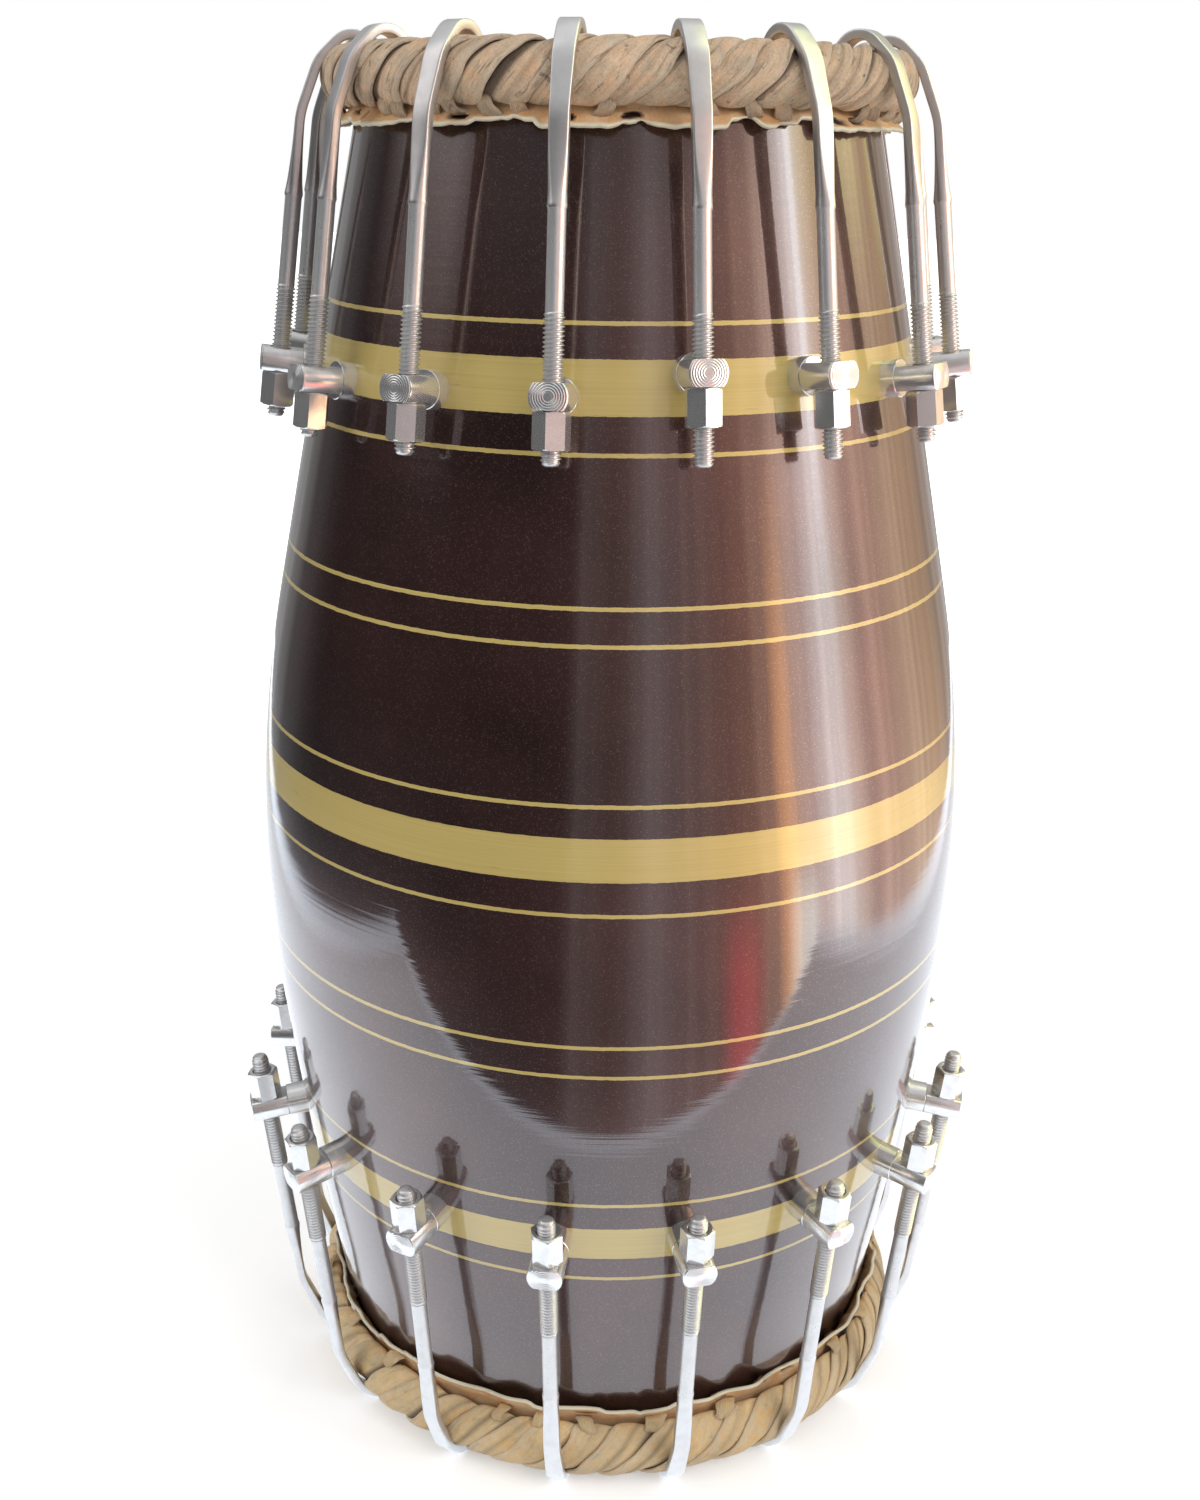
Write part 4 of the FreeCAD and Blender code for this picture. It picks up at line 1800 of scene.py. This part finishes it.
@dataclass
class RimSkin:
    """The outer skin: a band on the playing skin, turned over the lip, that ends in a flared skirt.

    Each wave of the skirt has its fineness, its own seed, and how much it sways the skirt's reach and its
    flare. Places round the drum are counted in straps.
    """

    end: DrumEnd
    seed: int
    reach: float
    flare: float
    band: float = 17.0
    flat: float = 5.0
    fold_start: float = 2.0
    fold_ease: float = 0.1
    bends: tuple[float, ...] = (1.0, 1.0, 2.0)
    bend_steps: int = 4
    steps: int = 832
    skirt_rows: int = 11
    start: float = 3.4
    waves: tuple[tuple[float, float, float, float], ...] = (
        (2.3, 0, 0.15, 0.5), (9.0, 3, 0.20, 0.8), (26.0, 7, 0.06, 0.14))
    flare_share: float = 0.55
    flare_start: float = 0.12
    flare_curve: float = 1.45
    flare_scale: float = 1.2
    lump_rise: float = 0.5
    slot_chance: float = 0.42
    slot_shift: float = 0.18
    slot_width: Pair = (0.16, 0.34)
    slot_height: Pair = (0.7, 1.2)
    slot_level: Pair = (0.62, 0.78)
    slot_edge: Pair = (1.25, 0.6)
    slot_depth: float = 1.5
    lip_edge: Pair = (2.6, 1.2)
    lip_rise: float = 0.35
    notch_chance: float = 0.2
    notch_place: Pair = (0.3, 0.7)
    notch_half: Pair = (0.2, 0.45)
    notch_depth: Pair = (0.16, 0.34)
    notch_soft: float = 0.26
    cut_start: float = 0.94
    cut_pale: float = 0.8

    @property
    def skirt(self) -> float:
        """The full length of the skirt."""
        return self.start + self.reach

    def line(self) -> list[Vector]:
        """The fixed part of the section, from the band's inner edge down to the skirt.

        Returns:
            The points, in the plane of radius and height.
        """
        end = self.end
        top, lip = end.skin + end.rim_skin, end.wall(0)
        inner = lip - self.band
        corners = [(inner, top), (inner + self.flat, top), (lip - self.fold_start, top),
                   (end.fold + self.fold_ease, top), (end.neck + end.rim_skin, -end.drop + self.start)]
        return rounded([Vector(corner) for corner in corners], self.bends, self.bend_steps)

    def build(self, finishes: Finishes) -> None:
        """Turns the skin, draws its skirt out and cuts its slots.

        Args:
            finishes: every finish of the drum.
        """
        end, name = self.end, self.end.name.value
        fixed = self.line()
        low = fixed[-1]
        outline = [(point.x, point.y) for point in fixed]
        for row in range(1, self.skirt_rows + 1):
            outline.append((low.x, low.y - self.skirt * row / self.skirt_rows))
        bm = turned(outline, self.steps, closed=False)
        cut_edge = bm.verts.layers.float.new("cut_edge")
        slot_shade = bm.verts.layers.float.new("slot_shade")
        for vert in bm.verts:
            if vert.co.z < low.y - WELD:
                share = (low.y - vert.co.z) / self.skirt
                # How deep in a slot the point is, which sets the painted shade there.
                vert[slot_shade] = self.drape(vert, share, low)
                vert[cut_edge] = smooth((share - self.cut_start) / (1 - self.cut_start)) * self.cut_pale
        mesh = to_mesh(bm, name + "_rim", [finishes.rim], sharp=70)
        mesh.transform(end.matrix())
        thicken(add_piece(name + "_rim", mesh, "drum", [name + "_rim_skin"]), end.rim_skin)

    def slot(self, turn: float, share: float) -> Pair:
        """The slot that the skirt has over a strap, where it has one.

        Args:
            turn: the place round the drum.
            share: how far down the skirt it is, from 0 to 1.

        Returns:
            How deep in the slot the place is, from 0 to 1, and how far the slot's lip stands out there.
        """
        strap = int(turn)
        draw = random.Random(self.seed * 1000 + strap)
        centre = 0.5 + draw.uniform(-self.slot_shift, self.slot_shift)
        wide, tall = draw.uniform(*self.slot_width), draw.uniform(*self.slot_height) / self.skirt
        level = draw.uniform(*self.slot_level)
        away = ((turn - strap - centre) / wide) ** 2 + ((share - level) / tall) ** 2
        (slot_end, slot_soft), (lip_end, lip_soft) = self.slot_edge, self.lip_edge
        depth = smooth((slot_end - away) / slot_soft) if draw.random() < self.slot_chance else 0.0
        return depth, self.lip_rise * smooth((lip_end - away) / lip_soft) * (1 - depth)

    def drape(self, vert: bmesh.types.BMVert, share: float, low: Vector) -> float:
        """Moves a point of the skirt to its draped place.

        Args:
            vert: the point.
            share: how far down the skirt it is, from 0 to 1.
            low: where the skirt starts.

        Returns:
            How deep in a slot the point is, from 0 to 1.
        """
        angle = math.atan2(vert.co.y, vert.co.x)
        turn = (angle / math.tau * STRAPS) % STRAPS
        ring = Vector((math.cos(angle), math.sin(angle), 0))
        sways = [noise.noise(ring * count + Vector((0, 0, self.seed + seed)))
                 for count, seed, _, _ in self.waves]
        longer = sum((wave[2] * sway for wave, sway in zip(self.waves, sways)), 1)
        wider = sum((wave[3] * sway for wave, sway in zip(self.waves, sways)), 1)
        kept = self.kept(turn)
        flare = self.flare * wider * (1 - self.flare_share + self.flare_share * kept)
        out = flare * max(0.0, share - self.flare_start) ** self.flare_curve * self.flare_scale
        depth, lip = self.slot(turn, share)
        bulge = self.lump_rise * sways[1] * smooth(share * 3)
        radius = low.x + out - self.slot_depth * depth + lip + bulge
        vert.co = Vector((radius * ring.x, radius * ring.y, low.y - self.skirt * longer * kept * share))
        return depth

    def kept(self, turn: float) -> float:
        """The skirt's share of its full reach: it is cut short here and there between two straps.

        Args:
            turn: the place round the drum.

        Returns:
            The share, 1 where the skirt is whole.
        """
        total = 1.0
        for strap in range(int(turn) - 1, int(turn) + 2):
            draw = random.Random(self.seed * 77 + strap % STRAPS)
            if draw.random() < self.notch_chance:
                centre, half = strap + draw.uniform(*self.notch_place), draw.uniform(*self.notch_half)
                inside = half + self.notch_soft - abs(turn - centre)
                total -= draw.uniform(*self.notch_depth) * smooth(inside / self.notch_soft)
        return total


@dataclass
class Head:
    """The flat skins across the mouths, and the black patch on the treble one."""

    steps: int = 128
    patch: float = 39.0
    patch_height: float = 2.6
    coats: tuple[float, ...] = (0.30, 0.52, 0.70, 0.84, 0.93, 0.98, 1.0)
    dome: float = 3.2
    rings: tuple[float, ...] = (0.2, 0.4, 0.6, 0.8, 0.95, 0.995)
    hub: float = 0.01
    edge: float = 0.25

    def build_skin(self, end: DrumEnd, finishes: Finishes) -> None:
        """Stretches one playing skin.

        Args:
            end: the end of the drum.
            finishes: every finish of the drum.
        """
        name, radius = end.name.value, end.wall(0)
        outline = [(self.hub, 0.0), (self.hub, end.skin)]
        outline += [(radius * share, end.skin) for share in self.rings]
        outline += [(radius, end.skin - self.edge), (radius, self.edge), (radius - self.edge, 0.0)]
        mesh = to_mesh(turned(outline, self.steps), name + "_skin", [finishes.skin])
        mesh.transform(end.matrix())
        add_piece(name + "_skin", mesh, "drum", [name + "_playing_skin"])

    def build_patch(self, end: DrumEnd, finishes: Finishes) -> None:
        """Lays the patch on in thin coats, each a little smaller than the last.

        Args:
            end: the end of the drum.
            finishes: every finish of the drum.
        """
        foot = end.skin
        outline = [(self.hub, foot), (self.hub, foot + self.patch_height)]
        for share in self.coats:
            outline.append((self.patch * share, foot + self.patch_height * math.sqrt(1 - share ** self.dome)))
        mesh = to_mesh(turned(outline, self.steps), "tuning_paste", [finishes.paste], sharp=50)
        mesh.transform(end.matrix())
        add_piece("tuning_paste", mesh, "drum", ["tuning_patch"])


@dataclass
class Drum:
    """The whole mridangam."""

    seed: int = 3
    shell: Shell = field(default_factory=Shell)
    nut: Nut = field(default_factory=Nut)
    post: Post = field(default_factory=Post)
    hook: Hook = field(default_factory=Hook)
    head: Head = field(default_factory=Head)
    rims: tuple[RimSkin, ...] = (
        RimSkin(TREBLE, seed=8, reach=3.0, flare=5.2), RimSkin(BASS, seed=5, reach=5.4, flare=4.0))
    plaits: tuple[Plait, ...] = (Plait(TREBLE, seed=11), Plait(BASS, seed=12, tie_chance=0.5, tie_reach=1.4))

    def build(self) -> None:
        """Builds every piece of the drum, from the shell out."""
        finishes = Finishes()
        self.shell.build(finishes)
        draw = random.Random(self.seed)
        stations = []
        for end, rim, plait in zip(ENDS, self.rims, self.plaits):
            self.head.build_skin(end, finishes)
            rim.build(finishes)
            plait.build(finishes)
            hook, nut = self.hook.template(end, finishes), self.nut.template(finishes)
            for station in read_stations(end):
                stations.append(station)
                self.hook.build(station, hook)
                self.nut.build(station, nut, draw.uniform(0, math.pi / 3))
        self.head.build_patch(TREBLE, finishes)
        self.post.build(stations, finishes)
        hoops = frame["nodes"]["head_hoops"].data
        hoops.materials.clear()
        hoops.materials.append(finishes.hoop)


# The studio.


@dataclass(frozen=True)
class Window:
    """A bright patch of the room.

    Its azimuth is counted in degrees right of the front, and so are half its width and the width of its soft
    sides. It grows to its full light between two heights, and fades out between two distances from the drum.
    """

    azimuth: float
    half: float
    soft: float
    light: Colour
    heights: Pair
    fades: Pair = (9.0, 10.0)


@dataclass
class Studio:
    """The white floor and background, the room that glossy pieces reflect, and the lamps."""

    floor_radius: float = 9.0
    floor_colour: Colour = (0.86, 0.86, 0.86)
    beyond_colour: Colour = (0.02, 0.02, 0.02)
    steps: int = 96
    room_radius: float = 3.2
    room_foot: float = 0.004
    room_height: float = 3.0
    room_cove: float = 0.6
    sight_fade: Triple = (0.35, 1.3, 0.36)
    paper: Triple = (0.47, -0.262, 0.95)
    side_blur: float = 0.12
    front_blur: float = 0.02
    paper_level: float = 0.78
    paper_fade: Pair = (0.45, 0.80)
    paper_tint: Colour = (0.88, 0.97, 1.10)
    world_level: float = 0.62
    room_peak: float = 6.0
    room_light: tuple[tuple[float, Colour], ...] = (
        (-180, (0.50, 0.50, 0.50)), (-150, (0.42, 0.42, 0.42)), (-128, (0.14, 0.14, 0.14)),
        (-108, (0.02, 0.02, 0.02)), (-22, (0.02, 0.02, 0.02)), (-14, (0.05, 0.04, 0.04)),
        (-9, (0.40, 0.36, 0.35)), (0, (0.26, 0.18, 0.16)), (5, (0.42, 0.32, 0.30)),
        (10, (0.72, 0.62, 0.63)), (17, (0.76, 0.63, 0.63)), (23, (0.76, 0.57, 0.53)),
        (36, (0.78, 0.46, 0.38)), (44, (1.00, 0.62, 0.46)), (50, (1.50, 1.00, 0.76)),
        (57, (2.90, 2.10, 1.65)), (62, (3.50, 2.70, 2.40)), (67, (3.60, 3.30, 3.20)),
        (74, (4.90, 4.80, 4.70)), (81, (3.30, 2.60, 2.20)), (88, (2.40, 1.60, 1.30)),
        (98, (2.00, 1.35, 1.05)), (113, (1.70, 1.25, 0.85)), (124, (1.20, 0.80, 0.50)),
        (137, (0.60, 0.45, 0.35)), (150, (0.50, 0.45, 0.42)), (180, (0.50, 0.50, 0.50)))
    windows: tuple[Window, ...] = (
        Window(-84, 14, 14, (0.9, 0.82, 0.8), (0.7, 1.5)), Window(108, 5, 7, (2.2, 2.45, 0.85), (0.8, 1.5)),
        Window(84, 6, 5, (1.2, 1.2, 0.2), (0.8, 1.4)), Window(54, 1.2, 3.5, (3.0, 1.3, 0.35), (0.95, 0.45)),
        Window(39, 2, 5.5, (1.9, 0.05, 0.16), (0.5, 0.1), (0.50, 0.85)),
        Window(59, 2.5, 4, (1.6, 2.6, 2.6), (0.5, 0.1), (0.7, 1.0)),
        Window(74, 0.7, 2.0, (2.4, 2.7, 3.0), (0.5, 0.9)), Window(130, 2.5, 4, (1.0, 1.1, 0.30), (0.6, 1.0)))
    ceiling: Triple = (1.1, 3.4, 0.68)
    wall_fade: Triple = (1.5, 2.3, 0.12)
    streak_scale: float = 7.0
    streak_depth: float = 0.38
    lamp_aim: Triple = (0, 0, 0.2)
    lamps: tuple[tuple[str, Triple, float, float], ...] = (
        ("key", (1.5, -1.6, 1.9), 1.4, 26), ("fill", (-2.0, -1.1, 1.2), 1.6, 13),
        ("back", (0.4, 2.2, 1.9), 1.6, 16))

    def ray(self, tree: bpy.types.NodeTree, name: str) -> Socket:
        """A value of 1 for one kind of ray."""
        return tree.nodes.new("ShaderNodeLightPath").outputs[name]

    def white_for_sight(self, tree: bpy.types.NodeTree) -> Socket:
        """Finds the rays that look at the stage.

        Args:
            tree: the nodes that take the answer.

        Returns:
            A value of 1 where the eye, a mirror or glass looks.
        """
        total = self.ray(tree, "Is Camera Ray")
        for name in ("Is Glossy Ray", "Is Transmission Ray"):
            adder = tree.nodes.new("ShaderNodeMath")
            adder.operation, adder.use_clamp = "ADD", True
            tree.links.new(total, adder.inputs[0])
            tree.links.new(self.ray(tree, name), adder.inputs[1])
            total = adder.outputs[0]
        return total

    def build_world(self) -> None:
        """A white world to look at that gives a plain, even light."""
        world = bpy.data.worlds.new("studio_world")
        bpy.context.scene.world = world
        world.use_nodes = True
        tree = world.node_tree
        sight = self.white_for_sight(tree)
        mix = tree.nodes.new("ShaderNodeMapRange")
        tree.links.new(sight, mix.inputs[0])
        mix.inputs[3].default_value = self.world_level
        mix.inputs[4].default_value = 1.0
        tree.nodes["Background"].inputs["Color"].default_value = (1, 1, 1, 1)
        tree.links.new(mix.outputs[0], tree.nodes["Background"].inputs["Strength"])

    def off_paper(self, graph: Graph) -> Socket:
        """Finds the floor beyond the sheet of paper that the drum stands on, whose front edge is near it.

        Args:
            graph: the floor's nodes.

        Returns:
            A value of 1 beyond the paper.
        """
        side, front, back = self.paper
        split = graph.parts(graph.place((1, 1, 1)))
        across = graph.spread(graph.math("ABSOLUTE", split[0]), side, side + self.side_blur)
        ahead = graph.spread(split[1], front - self.front_blur, front, 1, 0)
        behind = graph.spread(split[1], back, back + self.side_blur)
        return graph.math("MAXIMUM", graph.math("MAXIMUM", across, ahead), behind)

    def reach(self, graph: Graph, split: Sequence[Socket]) -> Socket:
        """The distance from the drum's axis, from the parts of a place."""
        return graph.math("SQRT", graph.math("ADD", graph.math("MULTIPLY", split[0], split[0]),
                                             graph.math("MULTIPLY", split[1], split[1])))

    def room_glow(self, graph: Graph) -> Socket:
        """The room's light, which changes round the drum and grows towards the ceiling.

        Args:
            graph: the nodes of the wall or the floor.

        Returns:
            The light's colour, as a share of the room's peak.
        """
        split = graph.parts(graph.place((1, 1, 1)))
        angle = graph.math("ARCTAN2", split[0], graph.math("MULTIPLY", split[1], -1.0))
        ramp = graph.node("ValToRGB")
        graph.links.new(graph.spread(angle, -math.pi, math.pi), ramp.inputs[0])
        stops = ramp.color_ramp.elements
        for azimuth, light in self.room_light:
            share = azimuth / 360 + 0.5
            stop = stops[0] if share == 0 else stops[-1] if share == 1 else stops.new(share)
            stop.color = [level / self.room_peak for level in light] + [1]
        spot = graph.node("CombineXYZ")
        graph.feed(spot.inputs[0], graph.math("MULTIPLY", angle, self.streak_scale))
        streaks = graph.spread(graph.noise(spot.outputs[0], 1.0, 3, 0.6), 0.32, 0.68,
                               1 - self.streak_depth, 1 + self.streak_depth)
        low, high, level = self.ceiling
        fade_start, fade_end, faded = self.wall_fade
        streaks = graph.math("MULTIPLY", streaks, graph.spread(split[2], fade_start, fade_end, 1, faded))
        glow = graph.blend(1.0, ramp.outputs[0], streaks, "MULTIPLY")
        glow = graph.blend(1.0, glow, graph.spread(split[2], low, high, 0, level / self.room_peak), "ADD")
        for window in self.windows:
            off = graph.math("ABSOLUTE", graph.math("SUBTRACT", angle, math.radians(window.azimuth)))
            edge = math.radians(window.half + window.soft)
            shine = graph.math("MULTIPLY", graph.spread(off, math.radians(window.half), edge, 1, 0),
                               graph.spread(split[2], *window.heights))
            shine = graph.math("MULTIPLY", shine, graph.spread(self.reach(graph, split), *window.fades, 1, 0))
            light = tuple(share / self.room_peak for share in window.light)
            glow = graph.blend(1.0, glow, graph.blend(shine, (0.0, 0.0, 0.0), light), "ADD")
        return glow

    def build_floor(self) -> None:
        """The pale floor, which keeps the drum's shadow."""
        bm = bmesh.new()
        bmesh.ops.create_circle(bm, cap_ends=True, segments=self.steps, radius=self.floor_radius)
        graph = Graph("floor_paper")
        tree = graph.material.node_tree
        gloss = self.ray(tree, "Is Glossy Ray")
        beyond = graph.math("MULTIPLY", gloss, self.off_paper(graph))
        reach = self.reach(graph, graph.parts(graph.place((1, 1, 1))))
        near, far, dimmed = self.sight_fade
        eye = graph.spread(reach, near, far, dimmed, 1.0)
        seen = graph.spread(reach, *self.paper_fade, self.paper_level, 0)
        level = graph.math("MULTIPLY", self.white_for_sight(tree), graph.spread(gloss, 0, 1, eye, seen))
        paper = graph.blend(gloss, (1.0, 1.0, 1.0), self.paper_tint)
        graph.finish(Base_Color=graph.blend(beyond, self.floor_colour, self.beyond_colour), Roughness=1.0,
                     Specular_IOR_Level=0.0,
                     Emission_Color=graph.blend(beyond, paper, self.room_glow(graph)),
                     Emission_Strength=graph.spread(beyond, 0, 1, level, self.room_peak))
        self.add_stage("floor", bm, graph.material)

    def build_room(self) -> None:
        """The room round the paper, seen only in gloss."""
        outline = [(self.room_radius, self.room_foot), (self.room_radius, self.room_height),
                   (self.room_radius / 3, self.room_height + self.room_cove)]
        bm = turned(outline, self.steps, closed=False)
        graph = Graph("studio_room")
        graph.finish(Base_Color=(0.0, 0.0, 0.0), Specular_IOR_Level=0.0, Roughness=1.0,
                     Emission_Color=self.room_glow(graph), Emission_Strength=self.room_peak)
        room = self.add_stage("studio_room", bm, graph.material)
        for sight in ("camera", "diffuse", "transmission", "shadow", "volume_scatter"):
            setattr(room, "visible_" + sight, False)

    def add_stage(self, name: str, bm: Shape, finish: Finish) -> bpy.types.Object:
        """Adds a piece of the stage, which isn't part of the drum.

        Args:
            name: the piece's name.
            bm: its shape, which is freed.
            finish: its material.

        Returns:
            The piece.
        """
        mesh = bpy.data.meshes.new(name)
        bm.to_mesh(mesh)
        bm.free()
        mesh.materials.append(finish)
        item = bpy.data.objects.new(name, mesh)
        bpy.context.scene.collection.objects.link(item)
        return item

    def build_lamps(self) -> None:
        """Three large soft lamps, which glossy pieces don't show."""
        for name, place, size, watts in self.lamps:
            light = bpy.data.lights.new(name, "AREA")
            light.shape, light.size, light.energy = "DISK", size, watts
            lamp = bpy.data.objects.new(name, light)
            bpy.context.scene.collection.objects.link(lamp)
            lamp.location = place
            aim = Vector(self.lamp_aim) - Vector(place)
            lamp.rotation_euler = aim.to_track_quat("-Z", "Y").to_euler()
            lamp.visible_glossy = False

    def build(self) -> None:
        """Sets up the studio."""
        self.build_world()
        self.build_floor()
        self.build_room()
        self.build_lamps()


@dataclass
class PhotoCamera:
    """The camera, where the photograph was taken from."""

    place: Triple = (0.0, -0.6017, 0.4581)
    pitch: float = -0.3432
    yaw: float = -0.0064
    roll: float = -0.0112
    lens: float = 40.685
    film: float = 36.0
    clip: Pair = (0.02, 50.0)

    def build(self) -> None:
        """Adds the camera and looks through it."""
        data = bpy.data.cameras.new("photo_camera")
        data.lens, data.sensor_fit, data.sensor_height = self.lens, "VERTICAL", self.film
        data.clip_start, data.clip_end = self.clip
        camera = bpy.data.objects.new("photo_camera", data)
        bpy.context.scene.collection.objects.link(camera)
        cos_p, sin_p = math.cos(self.pitch), math.sin(self.pitch)
        cos_y, sin_y = math.cos(self.yaw), math.sin(self.yaw)
        cos_r, sin_r = math.cos(self.roll), math.sin(self.roll)
        base = Matrix(((1, 0, 0), (0, 0, -1), (0, 1, 0)))
        pitched = Matrix(((1, 0, 0), (0, cos_p, sin_p), (0, -sin_p, cos_p)))
        yawed = Matrix(((cos_y, 0, -sin_y), (0, 1, 0), (sin_y, 0, cos_y)))
        rolled = Matrix(((cos_r, sin_r, 0), (-sin_r, cos_r, 0), (0, 0, 1)))
        view = rolled @ pitched @ yawed @ base
        axes = Matrix((view[0], -view[1], -view[2])).transposed()
        camera.matrix_world = Matrix.Translation(self.place) @ axes.to_4x4()
        bpy.context.scene.camera = camera


def main() -> None:
    """Builds the drum, the studio and the camera."""
    logging.basicConfig(level=logging.INFO, format="%(name)s: %(message)s")
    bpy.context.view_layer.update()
    bpy.context.scene.view_settings.view_transform = "Standard"
    PhotoCamera().build()
    Drum().build()
    Studio().build()


if __name__ == "__main__":
    main()
